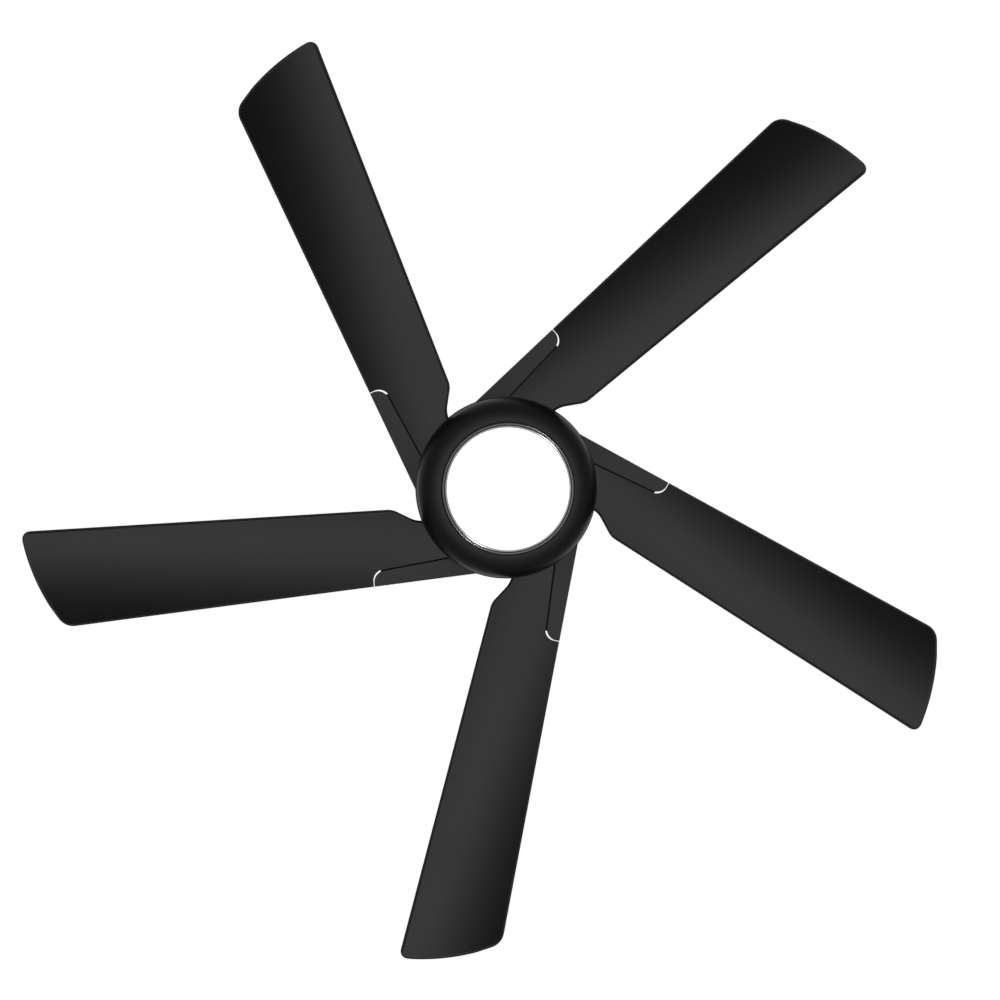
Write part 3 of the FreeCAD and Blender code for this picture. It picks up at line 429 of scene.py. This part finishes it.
class BladeForm:
    """The surface and outline of one blade."""

    axis_start = Vector((0, -256.6 * MM, -839.5 * MM))
    axis_way = Vector((1, 0.124, -0.0307)).normalized()
    slope = 0.0347
    tip_arc_radius = 269 * MM

    def __init__(self, sizes):
        self.radius = sizes.camber_radius
        self.half = sizes.blade_thickness / 2

    def height(self, x, y, extra=0.0):
        """Height of the camber surface, grown by extra, over a point."""
        way = self.axis_way
        radius = self.radius + extra
        flat = Vector((x, y, 0)) - self.axis_start
        along = flat.dot(way)
        a = 1 - way.z ** 2
        b = 2 * (flat.z - along * way.z)
        c = flat.length_squared - along ** 2 - radius ** 2
        return (-b + math.sqrt(b * b - 4 * a * c)) / (2 * a)

    def normal(self, point):
        """Upward direction square to the camber surface."""
        from_axis = point - self.axis_start
        return (from_axis - self.axis_way * from_axis.dot(self.axis_way)).normalized()

    def lead(self, x):
        return -(113 * MM + self.slope * x)

    def trail(self, x):
        return self.slope * x - 20.6 * MM

    def outline(self):
        """Dense closed outline, from the leading root corner outwards and back."""
        first = Vector((616.7 * MM, self.lead(616.7 * MM)))
        last = Vector((661 * MM, self.trail(661 * MM)))
        chord = last - first
        middle = (first + last) / 2
        side = Vector((-chord.y, chord.x)).normalized()
        centre = middle + side * math.sqrt(self.tip_arc_radius ** 2 - (chord.length / 2) ** 2)
        start, stop = [math.atan2(end.y - centre.y, end.x - centre.x) for end in (first, last)]
        arc = arc_points(centre, self.tip_arc_radius, start, stop, 24)[6:-3]
        corners = [(first.x, first.y, 24 * MM)] + arc + [(last.x, last.y, 11 * MM)]
        corners += [(157.7 * MM, self.trail(157.7 * MM), 27 * MM), (126.1 * MM, -34.5 * MM, 34 * MM)]
        root = 112 * MM
        root_top = (math.sqrt(root ** 2 - (34.5 * MM) ** 2), -34.5 * MM, 0)
        root_end = (36 * MM, self.lead(36 * MM), 0)
        swing = [math.atan2(root_top[1], root_top[0]), math.radians(-70.5)]
        corners += arc_points((0, 0), root, swing[0], swing[1], 12) + [root_end]
        return rounded_path(corners, 14)


def measured(path):
    """Running length along a path."""
    lengths = [0.0]
    for spot in range(1, len(path)):
        lengths.append(lengths[-1] + (path[spot] - path[spot - 1]).length)
    return lengths


def resampled(path, count):
    """The same path as count + 1 evenly spaced points."""
    lengths = measured(path)
    points = []
    spot = 0
    for step in range(count + 1):
        target = lengths[-1] * step / count
        while spot < len(path) - 2 and lengths[spot + 1] < target:
            spot += 1
        share = (target - lengths[spot]) / max(lengths[spot + 1] - lengths[spot], 1e-12)
        points.append(path[spot].lerp(path[spot + 1], min(max(share, 0), 1)))
    return points


def inset(path, distance):
    """A closed path moved inwards, which is to its left."""
    moved = []
    total = len(path)
    for spot in range(total):
        way = path[(spot + 1) % total] - path[spot - 1]
        left = Vector((-way.y, way.x)).normalized()
        moved.append(path[spot] + left * distance)
    return moved


def nearest(path, spot):
    """Index of the point of a path nearest a spot."""
    return min(range(len(path)), key=lambda index: (path[index] - spot).length)


def between_marks(path, start, stop):
    """The stretch of a closed path from one index to another."""
    if stop >= start:
        return path[start:stop + 1]
    return path[start:] + path[:stop + 1]


def blade_mesh(form, sizes):
    """One blade with a smooth cambered face on both sides and a rounded rim."""
    long_steps, short_steps, rim_steps = 210, 44, 8
    rim = sizes.edge_round
    path = resampled(form.outline() + [form.outline()[0]], 1400)[:-1]
    path = inset(path, rim)
    marks = [nearest(path, Vector(spot)) for spot in ((0.045, -0.112), (0.608, -0.130), (0.657, -0.002),
                                                      (0.106, -0.037))]
    lead = resampled(between_marks(path, marks[0], marks[1]), long_steps)
    tip = resampled(between_marks(path, marks[1], marks[2]), short_steps)
    trail = resampled(between_marks(path, marks[2], marks[3])[::-1], long_steps)
    root = resampled(between_marks(path, marks[3], marks[0])[::-1], short_steps)
    grid = []
    for along in range(long_steps + 1):
        s = along / long_steps
        row = []
        for across in range(short_steps + 1):
            t = across / short_steps
            edges = lead[along] * (1 - t) + trail[along] * t + root[across] * (1 - s) + tip[across] * s
            corners = (lead[0] * (1 - s) + lead[-1] * s) * (1 - t) + (trail[0] * (1 - s) + trail[-1] * s) * t
            row.append(edges - corners)
        grid.append(row)
    shape = bmesh.new()

    def lifted(flat, offset):
        point = Vector((flat.x, flat.y, form.height(flat.x, flat.y)))
        return point + form.normal(point) * offset

    top = [[shape.verts.new(lifted(flat, form.half)) for flat in row] for row in grid]
    low = [[shape.verts.new(lifted(flat, -form.half)) for flat in row] for row in grid]
    for rows in (top, low):
        for along in range(long_steps):
            for across in range(short_steps):
                shape.faces.new((rows[along][across], rows[along + 1][across], rows[along + 1][across + 1],
                                 rows[along][across + 1]))
    ring = [(along, 0) for along in range(long_steps)]
    ring += [(long_steps, across) for across in range(short_steps)]
    ring += [(along, short_steps) for along in range(long_steps, 0, -1)]
    ring += [(0, across) for across in range(short_steps, 0, -1)]
    total = len(ring)
    strips = []
    for spot, (along, across) in enumerate(ring):
        before = grid[ring[spot - 1][0]][ring[spot - 1][1]]
        after = grid[ring[(spot + 1) % total][0]][ring[(spot + 1) % total][1]]
        way = after - before
        out = Vector((way.y, -way.x)).normalized()
        strip = [top[along][across]]
        for step in range(1, rim_steps):
            turn = math.pi * step / rim_steps
            flat = grid[along][across] + out * rim * math.sin(turn)
            strip.append(shape.verts.new(lifted(flat, form.half * math.cos(turn))))
        strip.append(low[along][across])
        strips.append(strip)
    for spot in range(total):
        this, following = strips[spot], strips[(spot + 1) % total]
        for step in range(rim_steps):
            shape.faces.new((this[step], following[step], following[step + 1], this[step + 1]))
    return shape


def arm_side(x, end, shift, corner):
    """The inner side of an arm strip at x, with its rounded outer corner."""
    y = -(ARM_LINE + ARM_SLOPE * x) + shift
    into = corner - (end - x)
    if into > 0:
        y -= corner - math.sqrt(max(corner ** 2 - into ** 2, 0))
    return y


def strip_mesh(form, start, end, inner_shift, outer_shift, corner, top_extra, low_extra=None, end_round=0.0):
    """A strip along the leading edge, with one rounded outer corner; it is the arm or the recess for it."""
    along_steps, across_steps = 96, 12
    shape = bmesh.new()
    rows = []
    for along in range(along_steps + 1):
        share = along / along_steps
        x = start + (end - start) * (1 - (1 - share) ** 1.6)
        inner = arm_side(x, end, inner_shift, corner)
        outer = form.lead(x) - outer_shift
        row = []
        for across in range(across_steps + 1):
            y = outer + (inner - outer) * across / across_steps
            high = form.height(x, y, top_extra)
            if low_extra is None:
                low = -0.34
            else:
                low = form.height(x, y, low_extra)
                near = end_round - (end - x)
                if near > 0:
                    low += end_round - math.sqrt(max(end_round ** 2 - near ** 2, 0))
                low = min(low, high - 0.0002)
            row.append((shape.verts.new((x, y, high)), shape.verts.new((x, y, low))))
        rows.append(row)
    for along in range(along_steps):
        for across in range(across_steps):
            for level in (0, 1):
                shape.faces.new((rows[along][across][level], rows[along + 1][across][level],
                                 rows[along + 1][across + 1][level], rows[along][across + 1][level]))
        for across in (0, across_steps):
            this, following = rows[along][across], rows[along + 1][across]
            shape.faces.new((this[0], following[0], following[1], this[1]))
    for along in (0, along_steps):
        for across in range(across_steps):
            this, following = rows[along][across], rows[along][across + 1]
            shape.faces.new((this[0], following[0], following[1], this[1]))
    return shape


def strip_side(start, end, shift, corner, steps=40):
    """The inner side and rounded outer corner of an arm strip, as (x, y) points."""
    points = []
    for step in range(steps + 1):
        x = end - (end - start) * (1 - step / steps) ** 1.8
        points.append((x, arm_side(x, end, shift, corner)))
    return points


def slot_mesh(form, sizes):
    """The open slot between an arm's rounded end and its blade."""
    start = sizes.arm_end - SLOT_REACH
    end = sizes.arm_end + sizes.arm_end_gap
    below = form.lead(sizes.arm_end) - CUT_MARGIN
    outer = strip_side(start, end, sizes.arm_gap, ARM_ROUND)
    inner = strip_side(start, sizes.arm_end, 0, ARM_ROUND)
    path = outer + [(end, below), (sizes.arm_end, below)] + inner[::-1]
    return prism_mesh([(x / MM, y / MM, 0) for x, y in path], 200, 340)


def prism_mesh(corners, top, bottom):
    """An upright block from (x, y, round) corners in millimetres between two depths."""
    path = rounded_path([(x * MM, y * MM, corner * MM) for x, y, corner in corners], 8)
    shape = bmesh.new()
    rings = [[shape.verts.new((point.x, point.y, -depth * MM)) for point in path] for depth in (top, bottom)]
    for ring in rings:
        shape.faces.new(ring)
    for spot in range(len(path)):
        after = (spot + 1) % len(path)
        shape.faces.new((rings[0][spot], rings[0][after], rings[1][after], rings[1][spot]))
    return shape


def blade_angle(sizes, step):
    """Direction of one blade."""
    return sizes.first_angle + 2 * math.pi * step / sizes.blade_count


def turned_copy(source, angle):
    """A bmesh copy of an object's mesh turned about the fan's axis."""
    shape = bmesh.new()
    shape.from_mesh(source.data)
    bmesh.ops.rotate(shape, cent=(0, 0, 0), matrix=Matrix.Rotation(angle, 3, "Z"), verts=shape.verts[:])
    return shape


def cross_head(radius, height, dome):
    """A pan screw head on the XY plane, facing up, with a cross recess."""
    path = [(0, 0, 0), (radius, 0, 0), (radius, height * 0.45, 0)]
    for step in range(1, 9):
        turn = math.pi / 2 * step / 8
        out = radius - dome + dome * math.cos(turn)
        path.append((out, height * 0.45 + height * 0.55 * math.sin(turn), 0))
    path.append((0, height, 0))
    head = loose_piece("head", turned_mesh([Vector(point[:2]) for point in path], 40))
    for turn in (0, math.pi / 2):
        cutter = bmesh.new()
        bmesh.ops.create_cube(cutter, size=1)
        bmesh.ops.scale(cutter, vec=(radius * 1.05, radius * 0.26, height * 0.8), verts=cutter.verts[:])
        bmesh.ops.rotate(cutter, cent=(0, 0, 0), matrix=Matrix.Rotation(turn, 3, "Z"), verts=cutter.verts[:])
        bmesh.ops.translate(cutter, vec=(0, 0, height * 0.95), verts=cutter.verts[:])
        tool = loose_piece("cross", cutter)
        applied(head, [("BOOLEAN", {"operation": "DIFFERENCE", "object": tool, "solver": "EXACT"})])
        discard(tool)
    return head


def joined_heads(head, places):
    """Copies of one head at several matrices, as one bmesh."""
    shape = bmesh.new()
    for place in places:
        part = head.data.copy()
        part.transform(place)
        shape.from_mesh(part)
        bpy.data.meshes.remove(part)
    discard(head)
    return shape


# Operators.

class FAN_OT_camera(bpy.types.Operator):
    """Look straight up at the fan from below"""

    bl_idname = "fan.camera"
    bl_label = "Camera"

    def execute(self, context):
        sizes = context.scene.fan_sizes
        forward = Vector((0.04946, 0.03866, 1)).normalized()
        eye = Vector((-0.20758, -0.13868, -0.27 - sizes.camera_distance))
        right = forward.cross(Vector((0, -1, 0))).normalized()
        up = right.cross(forward)
        data = bpy.data.cameras.new("fan_camera")
        data.sensor_width = 36
        data.lens = 36 * sizes.camera_distance / sizes.view_width
        data.clip_end = 200
        camera = bpy.data.objects.new("fan_camera", data)
        camera.matrix_world = Matrix.Translation(eye) @ Matrix((right, up, -forward)).transposed().to_4x4()
        context.scene.collection.objects.link(camera)
        context.scene.camera = camera
        return {"FINISHED"}


class FAN_OT_finishes(bpy.types.Operator):
    """Make every finish"""

    bl_idname = "fan.finishes"
    bl_label = "Finishes"

    def execute(self, context):
        colours = context.scene.fan_colours
        satin_black("blade_satin", colours.blade, 0.23, 620, 0.00003)
        satin_black("arm_powder", colours.arm, 0.44, 1100, 0.00012, 0.07)
        satin_black("housing_satin", colours.housing, 0.36, 520, 0.00006)
        satin_black("screw_black", colours.housing, 0.3, 900, 0.00003, 0.05)
        metal("zinc_plate", colours.zinc, 0.34, 260, 0.00005)
        metal("cast_grey", (0.42, 0.42, 0.43), 0.5, 420, 0.0002)
        metal("turned_steel", (0.56, 0.56, 0.57), 0.26, 900, 0.00004, (1, 1, 0.05))
        metal("core_laminations", (0.3, 0.3, 0.32), 0.45, 40, 0.0003, (1, 1, 50))
        metal("sheet_aluminium", (0.7, 0.71, 0.72), 0.35, 500, 0.00004, (1, 0.08, 1))
        metal("magnet_coat", (0.1, 0.1, 0.11), 0.4, 300, 0.00005, (1, 1, 1), 0.6)
        moulded("nylon_liner", (0.72, 0.71, 0.66), 0.38)
        moulded("receiver_shell", (0.045, 0.046, 0.048), 0.5)
        moulded("driver_shell", (0.62, 0.62, 0.6), 0.45)
        moulded("board_mask", (0.8, 0.81, 0.79), 0.35)
        moulded("gasket_rubber", (0.02, 0.02, 0.02), 0.8)
        moulded("lead_cover", (0.02, 0.02, 0.021), 0.42, 1200)
        ring_polish(colours)
        opal_lens(colours)
        wound_copper()
        lit_chips()
        return {"FINISHED"}


NODE_FINISHES = {
    "zinc_plate": ("mounting_bracket", "clevis_pin", "clevis_hairpin", "shaft_nut", "pan_standoffs",
                   "lamp_board_screws", "blade_arm_screws", "housing_screws", "ball_cross_pin"),
    "turned_steel": ("ball_set_screw", "coupling_set_screws", "motor_shaft", "bearing_inner_races",
                     "bearing_outer_races", "bearing_balls"),
    "cast_grey": ("hanger_ball", "motor_coupling", "rotor_shell", "rotor_flange"),
    "nylon_liner": ("ball_seat_liner",),
    "receiver_shell": ("receiver_module",),
    "driver_shell": ("lamp_driver",),
    "core_laminations": ("stator_core",),
    "wound_copper": ("stator_windings",),
    "magnet_coat": ("rotor_magnets",),
    "lead_cover": ("supply_leads",),
    "sheet_aluminium": ("lamp_pan",),
    "board_mask": ("lamp_board",),
    "lit_chips": ("lamp_chips",),
    "gasket_rubber": ("lens_gasket",),
    "housing_satin": ("downrod",),
}


class FAN_OT_hidden_works(bpy.types.Operator):
    """Give the bracket, motor and lamp parts their finishes"""

    bl_idname = "fan.hidden_works"
    bl_label = "Bracket, motor and lamp parts"

    def execute(self, context):
        for name, nodes in NODE_FINISHES.items():
            for node in nodes:
                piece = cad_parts[node]
                for spot in range(len(piece.material_slots)):
                    piece.material_slots[spot].material = FINISHES[name]
        return {"FINISHED"}


class FAN_OT_blades(bpy.types.Operator):
    """Make the cambered blades, each with a recess for its arm"""

    bl_idname = "fan.blades"
    bl_label = "Blades"

    def execute(self, context):
        sizes = context.scene.fan_sizes
        form = BladeForm(sizes)
        blade = loose_piece("one_blade", blade_mesh(form, sizes))
        recess = strip_mesh(form, 0.02, sizes.arm_end + sizes.arm_end_gap, sizes.arm_gap, CUT_MARGIN,
                            ARM_ROUND, RECESS_TOP)
        for name, shape in (("recess", recess), ("end_slot", slot_mesh(form, sizes))):
            cutter = loose_piece(name, shape)
            applied(blade, [("BOOLEAN", {"operation": "DIFFERENCE", "object": cutter, "solver": "EXACT"})])
            discard(cutter)
        for step in range(sizes.blade_count):
            number = step + 1
            shape = turned_copy(blade, blade_angle(sizes, step))
            finished("fan_blade_%d" % number, shape, "rotor", "blade_satin",
                     ["blade_%d" % number], 28)
        discard(blade)
        return {"FINISHED"}


class FAN_OT_blade_arms(bpy.types.Operator):
    """Make the blade arms that lie flush in the blades"""

    bl_idname = "fan.blade_arms"
    bl_label = "Blade arms"

    def execute(self, context):
        sizes = context.scene.fan_sizes
        form = BladeForm(sizes)
        shape = strip_mesh(form, 0.040, sizes.arm_end, 0.0, 0.0, ARM_ROUND, ARM_TOP, -form.half, 2.4 * MM)
        strip = loose_piece("arm_strip", shape)
        applied(strip, [("BEVEL", {"width": 0.5 * MM, "segments": 3, "limit_method": "ANGLE",
                                   "angle_limit": math.radians(50)})])
        corners = [(12, -88, 3), (44, -100, 4), (80, -75, 4), (46, -50, 6), (12, -50, 6)]
        pad = loose_piece("arm_pad", prism_mesh(corners, 252.1, 265.1))
        applied(pad, [("BEVEL", {"width": 1.2 * MM, "segments": 3, "limit_method": "ANGLE",
                                 "angle_limit": math.radians(60)})])
        shape = bmesh.new()
        for part in (strip, pad):
            shape.from_mesh(part.data)
            discard(part)
        arm = loose_piece("one_arm", shape)
        for step in range(sizes.blade_count):
            number = step + 1
            finished("fan_arm_%d" % number, turned_copy(arm, blade_angle(sizes, step)), "rotor",
                     "arm_powder", ["blade_arm_%d" % number], 40)
        discard(arm)
        return {"FINISHED"}


class FAN_OT_blade_screws(bpy.types.Operator):
    """Make the screws on top of the blades"""

    bl_idname = "fan.blade_screws"
    bl_label = "Blade screws"

    def execute(self, context):
        sizes = context.scene.fan_sizes
        form = BladeForm(sizes)
        head = cross_head(HEAD_RADIUS, HEAD_HEIGHT, HEAD_DOME)
        places = []
        for step in range(sizes.blade_count):
            turn = Matrix.Rotation(blade_angle(sizes, step), 4, "Z")
            for number in range(3):
                x, y = (100 + 36 * number) * MM, (-104 - 2.3 * number) * MM
                point = Vector((x, y, form.height(x, y, form.half)))
                tilt = Vector((0, 0, 1)).rotation_difference(form.normal(point)).to_matrix().to_4x4()
                spin = Matrix.Rotation(0.7 * number + 1.9 * step, 4, "Z")
                places.append(turn @ Matrix.Translation(point) @ tilt @ spin)
        finished("blade_screw_heads", joined_heads(head, places), "rotor", "screw_black",
                 ["blade_screws"])
        return {"FINISHED"}


class FAN_OT_light_housing(bpy.types.Operator):
    """Make the bowl that holds the light"""

    bl_idname = "fan.light_housing"
    bl_label = "Light housing"

    def execute(self, context):
        steps = context.scene.fan_sizes.turn_steps
        outer = arc_points((76.6, 290), 46, math.radians(0), math.radians(73), 28)
        inner = arc_points((76.6, 290), 44, math.radians(70), math.radians(2), 20)
        corners = [(8.8, 287, 0.2), (124, 287, 0.8), (124, 289.6, 0.6), (122.9, 290, 0.3)]
        corners += [(radius, depth, 0) for radius, depth, _ in outer[1:]]
        corners += [(89.4, 334, 0.35), (89.4, 332, 0.2)]
        corners += [(radius, depth, 0) for radius, depth, _ in inner]
        corners += [(120.6, 289, 0.5), (8.8, 289, 0.2)]
        finished("light_bowl", turned_mesh(mm_path(corners, 5), steps), "hanger",
                 "housing_satin", ["light_housing"], 30)
        return {"FINISHED"}


class FAN_OT_lens(bpy.types.Operator):
    """Make the lens and its trim ring"""

    bl_idname = "fan.lens"
    bl_label = "Lens and trim ring"

    def curve(self, radius, steps):
        """Points of one face of the lens, from its middle to its edge."""
        swing = math.asin(LENS_EDGE / LENS_OUTSIDE)
        turns = [swing * step / LENS_STEPS for step in steps]
        return [(radius * math.sin(turn), LENS_CENTRE + radius * math.cos(turn), 0) for turn in turns]

    def execute(self, context):
        steps = context.scene.fan_sizes.turn_steps
        outer = self.curve(LENS_OUTSIDE, range(LENS_STEPS + 1))
        inner = self.curve(LENS_INSIDE, range(LENS_STEPS - 2, -1, -1))
        rim = [(82.6, 337.3, 0.6), (82.6, 335.1, 0.3), (81.6, 335.0, 0.1), (81.6, 325.6, 0.3),
               (79.2, 325.6, 0.3), (79.2, 335.6, 0.3)]
        corners = outer + rim + inner
        finished("opal_dome", turned_mesh(mm_path(corners, 5), steps), "lens", "opal_lens",
                 ["lens"], 40)
        ring = [(83, 328.9, 0.2), (92, 328.9, 0.2), (92, 331, 0.2), (89, 331, 0.2), (89, 335.7, 0.8),
                (88.3, 336.6, 0.6), (87.4, 336.6, 0.4), (86.9, 336.0, 0.3), (84.9, 336.2, 0.5),
                (83.6, 335.6, 0.5), (83, 334.4, 0.3)]
        finished("trim_band", turned_mesh(mm_path(ring, 6), steps), "hanger", "ring_polish",
                 ["lens_trim_ring"], 45)
        return {"FINISHED"}


class FAN_OT_motor_housing(bpy.types.Operator):
    """Make the upper motor housing"""

    bl_idname = "fan.motor_housing"
    bl_label = "Motor housing"

    def execute(self, context):
        steps = context.scene.fan_sizes.turn_steps
        corners = [(20, 196, 0.3), (58, 196, 0.4), (59, 196.7, 0.4), (60, 196, 0.4), (118, 196, 24),
                   (118, 241, 0.4), (117.3, 241.6, 0.4), (118, 242.2, 0.4), (118, 250, 0.6),
                   (116.6, 250, 0.4), (116.6, 197.4, 22.6), (20, 197.4, 0.2)]
        finished("motor_bell", turned_mesh(mm_path(corners, 12), steps), "hanger",
                 "housing_satin", ["motor_housing"], 35)
        return {"FINISHED"}


class FAN_OT_coupling_cover(bpy.types.Operator):
    """Make the loose cover over the rod's coupling"""

    bl_idname = "fan.coupling_cover"
    bl_label = "Coupling cover"

    def execute(self, context):
        steps = context.scene.fan_sizes.turn_steps
        corners = [(13.75, 151, 0.5), (45, 151, 30), (45, 195.7, 0.5), (43.6, 195.7, 0.4),
                   (43.6, 152.4, 28.6), (13.75, 152.4, 0.4)]
        finished("coupling_bell", turned_mesh(mm_path(corners, 14), steps), "coupling_cover",
                 "housing_satin", ["coupling_cover"], 35)
        return {"FINISHED"}


class FAN_OT_canopy(bpy.types.Operator):
    """Make the canopy and its screws"""

    bl_idname = "fan.canopy"
    bl_label = "Canopy"

    def execute(self, context):
        steps = context.scene.fan_sizes.turn_steps
        corners = [(70, 0.5, 0.4), (70, 66, 28), (30, 66, 0.6), (30, 64.6, 0.4), (68.6, 64.6, 26.6),
                   (68.6, 0.5, 0.4)]
        finished("canopy_bell", turned_mesh(mm_path(corners, 14), steps), "mount",
                 "housing_satin", ["canopy"], 35)
        head = cross_head(HEAD_RADIUS, HEAD_HEIGHT, HEAD_DOME)
        places = []
        for side in (0, math.pi):
            turn = Matrix.Rotation(side, 4, "Z") @ Matrix.Translation((70.05 * MM, 0, -14 * MM))
            places.append(turn @ Matrix.Rotation(math.pi / 2, 4, "Y") @ Matrix.Rotation(0.6, 4, "Z"))
        finished("canopy_screw_heads", joined_heads(head, places), "mount", "screw_black",
                 ["canopy_screws"])
        return {"FINISHED"}


class FAN_OT_stage(bpy.types.Operator):
    """Make the floor, the sky and the lights"""

    bl_idname = "fan.stage"
    bl_label = "Stage"

    def add_light(self, context, name, place, size, power):
        """A square soft light aimed at the fan."""
        data = bpy.data.lights.new(name, "AREA")
        data.size = size
        data.energy = power
        light = bpy.data.objects.new(name, data)
        light.location = place
        light.visible_glossy = False
        light.rotation_euler = (FAN_MIDDLE - Vector(place)).to_track_quat("-Z", "Y").to_euler()
        context.scene.collection.objects.link(light)
        return light

    def make_sky(self, context):
        """White to the camera; to the fan, dim straight below and bright in a wide band round that."""
        world = bpy.data.worlds.new("studio")
        context.scene.world = world
        made = Finish(world)
        way = made.node("ShaderNodeTexCoord", output="Generated")
        height = made.node("ShaderNodeSeparateXYZ", {}, {"Vector": way}, "Z")
        levels = ((-1.0, 0.08), (-0.95, 0.08), (-0.925, 0.16), (-0.90, 0.42), (-0.865, 0.85),
                  (-0.82, 1.18), (-0.76, 1.0), (-0.65, 0.52), (-0.5, 0.28), (-0.3, 0.17), (0.0, 0.12),
                  (0.35, 0.12), (0.8, 0.4), (1.0, 0.6))
        peak = 1.2
        stops = [(level / 2 + 0.5, (glow / peak, glow / peak, glow / peak, 1)) for level, glow in levels]
        band = made.node("ShaderNodeValToRGB", {"stops": stops}, {"Fac": height * 0.5 + 0.5}, "Color")
        soft = made.node("ShaderNodeBackground", {}, {"Color": band, "Strength": peak}, "Background")
        plain = made.node("ShaderNodeBackground", {}, {"Color": (1, 1, 1, 1), "Strength": 1.0}, "Background")
        seen = made.node("ShaderNodeLightPath", output="Is Camera Ray")
        both = made.node("ShaderNodeMixShader", {}, {0: seen, 1: soft, 2: plain}, "Shader")
        made.node("ShaderNodeOutputWorld", {}, {"Surface": both})

    def execute(self, context):
        sizes = context.scene.fan_sizes
        colours = context.scene.fan_colours
        moulded("pale_floor", colours.floor, 0.75, 60, 0.0005)
        shape = bmesh.new()
        bmesh.ops.create_grid(shape, x_segments=2, y_segments=2, size=150)
        bmesh.ops.translate(shape, vec=(0, 0, -sizes.floor_depth), verts=shape.verts[:])
        floor = finished("studio_floor", shape, None, "pale_floor")
        floor.visible_glossy = False
        floor.visible_diffuse = False
        self.make_sky(context)
        self.add_light(context, "soft_key", (1.2, -1.6, 3.4), 2.2, 80)
        self.add_light(context, "soft_fill", (-1.6, 0.9, 3.2), 2.6, 40)
        data = bpy.data.lights.new("floor_wash", "SUN")
        data.angle = math.radians(25)
        data.energy = 2.9
        wash = bpy.data.objects.new("floor_wash", data)
        context.scene.collection.objects.link(wash)
        floors = bpy.data.collections.new("floor_only")
        floors.objects.link(floor)
        wash.light_linking.receiver_collection = floors
        rings = bpy.data.collections.new("ring_only")
        rings.objects.link(bpy.data.objects["trim_band"])
        for side in (1, -1):
            glint = self.add_light(context, "ring_glint", (1.1 * side, -1.5 * side, -2.1), 0.5, 16)
            glint.visible_glossy = True
            glint.light_linking.receiver_collection = rings
        context.scene.view_settings.view_transform = "Standard"
        context.scene.view_settings.look = "None"
        return {"FINISHED"}


class FAN_PT_panel(bpy.types.Panel):
    """Lists the fan's operators"""

    bl_idname = "FAN_PT_panel"
    bl_label = "Ceiling fan"
    bl_space_type = "VIEW_3D"
    bl_region_type = "UI"
    bl_category = "Ceiling fan"

    def draw(self, context):
        for operator in OPERATORS:
            self.layout.operator(operator.bl_idname)


OPERATORS = (FAN_OT_camera, FAN_OT_finishes, FAN_OT_hidden_works, FAN_OT_blades, FAN_OT_blade_arms,
             FAN_OT_blade_screws, FAN_OT_light_housing, FAN_OT_lens, FAN_OT_motor_housing,
             FAN_OT_coupling_cover, FAN_OT_canopy, FAN_OT_stage)
CLASSES = (FanSizes, FanColours) + OPERATORS + (FAN_PT_panel,)


def register():
    for item in CLASSES:
        bpy.utils.register_class(item)
    bpy.types.Scene.fan_sizes = PointerProperty(type=FanSizes)
    bpy.types.Scene.fan_colours = PointerProperty(type=FanColours)


def unregister():
    del bpy.types.Scene.fan_colours
    del bpy.types.Scene.fan_sizes
    for item in reversed(CLASSES):
        bpy.utils.unregister_class(item)


def main():
    """Make the whole fan."""
    register()
    for operator in OPERATORS:
        group, name = operator.bl_idname.split(".")
        getattr(getattr(bpy.ops, group), name)()


if __name__ == "__main__":
    main()
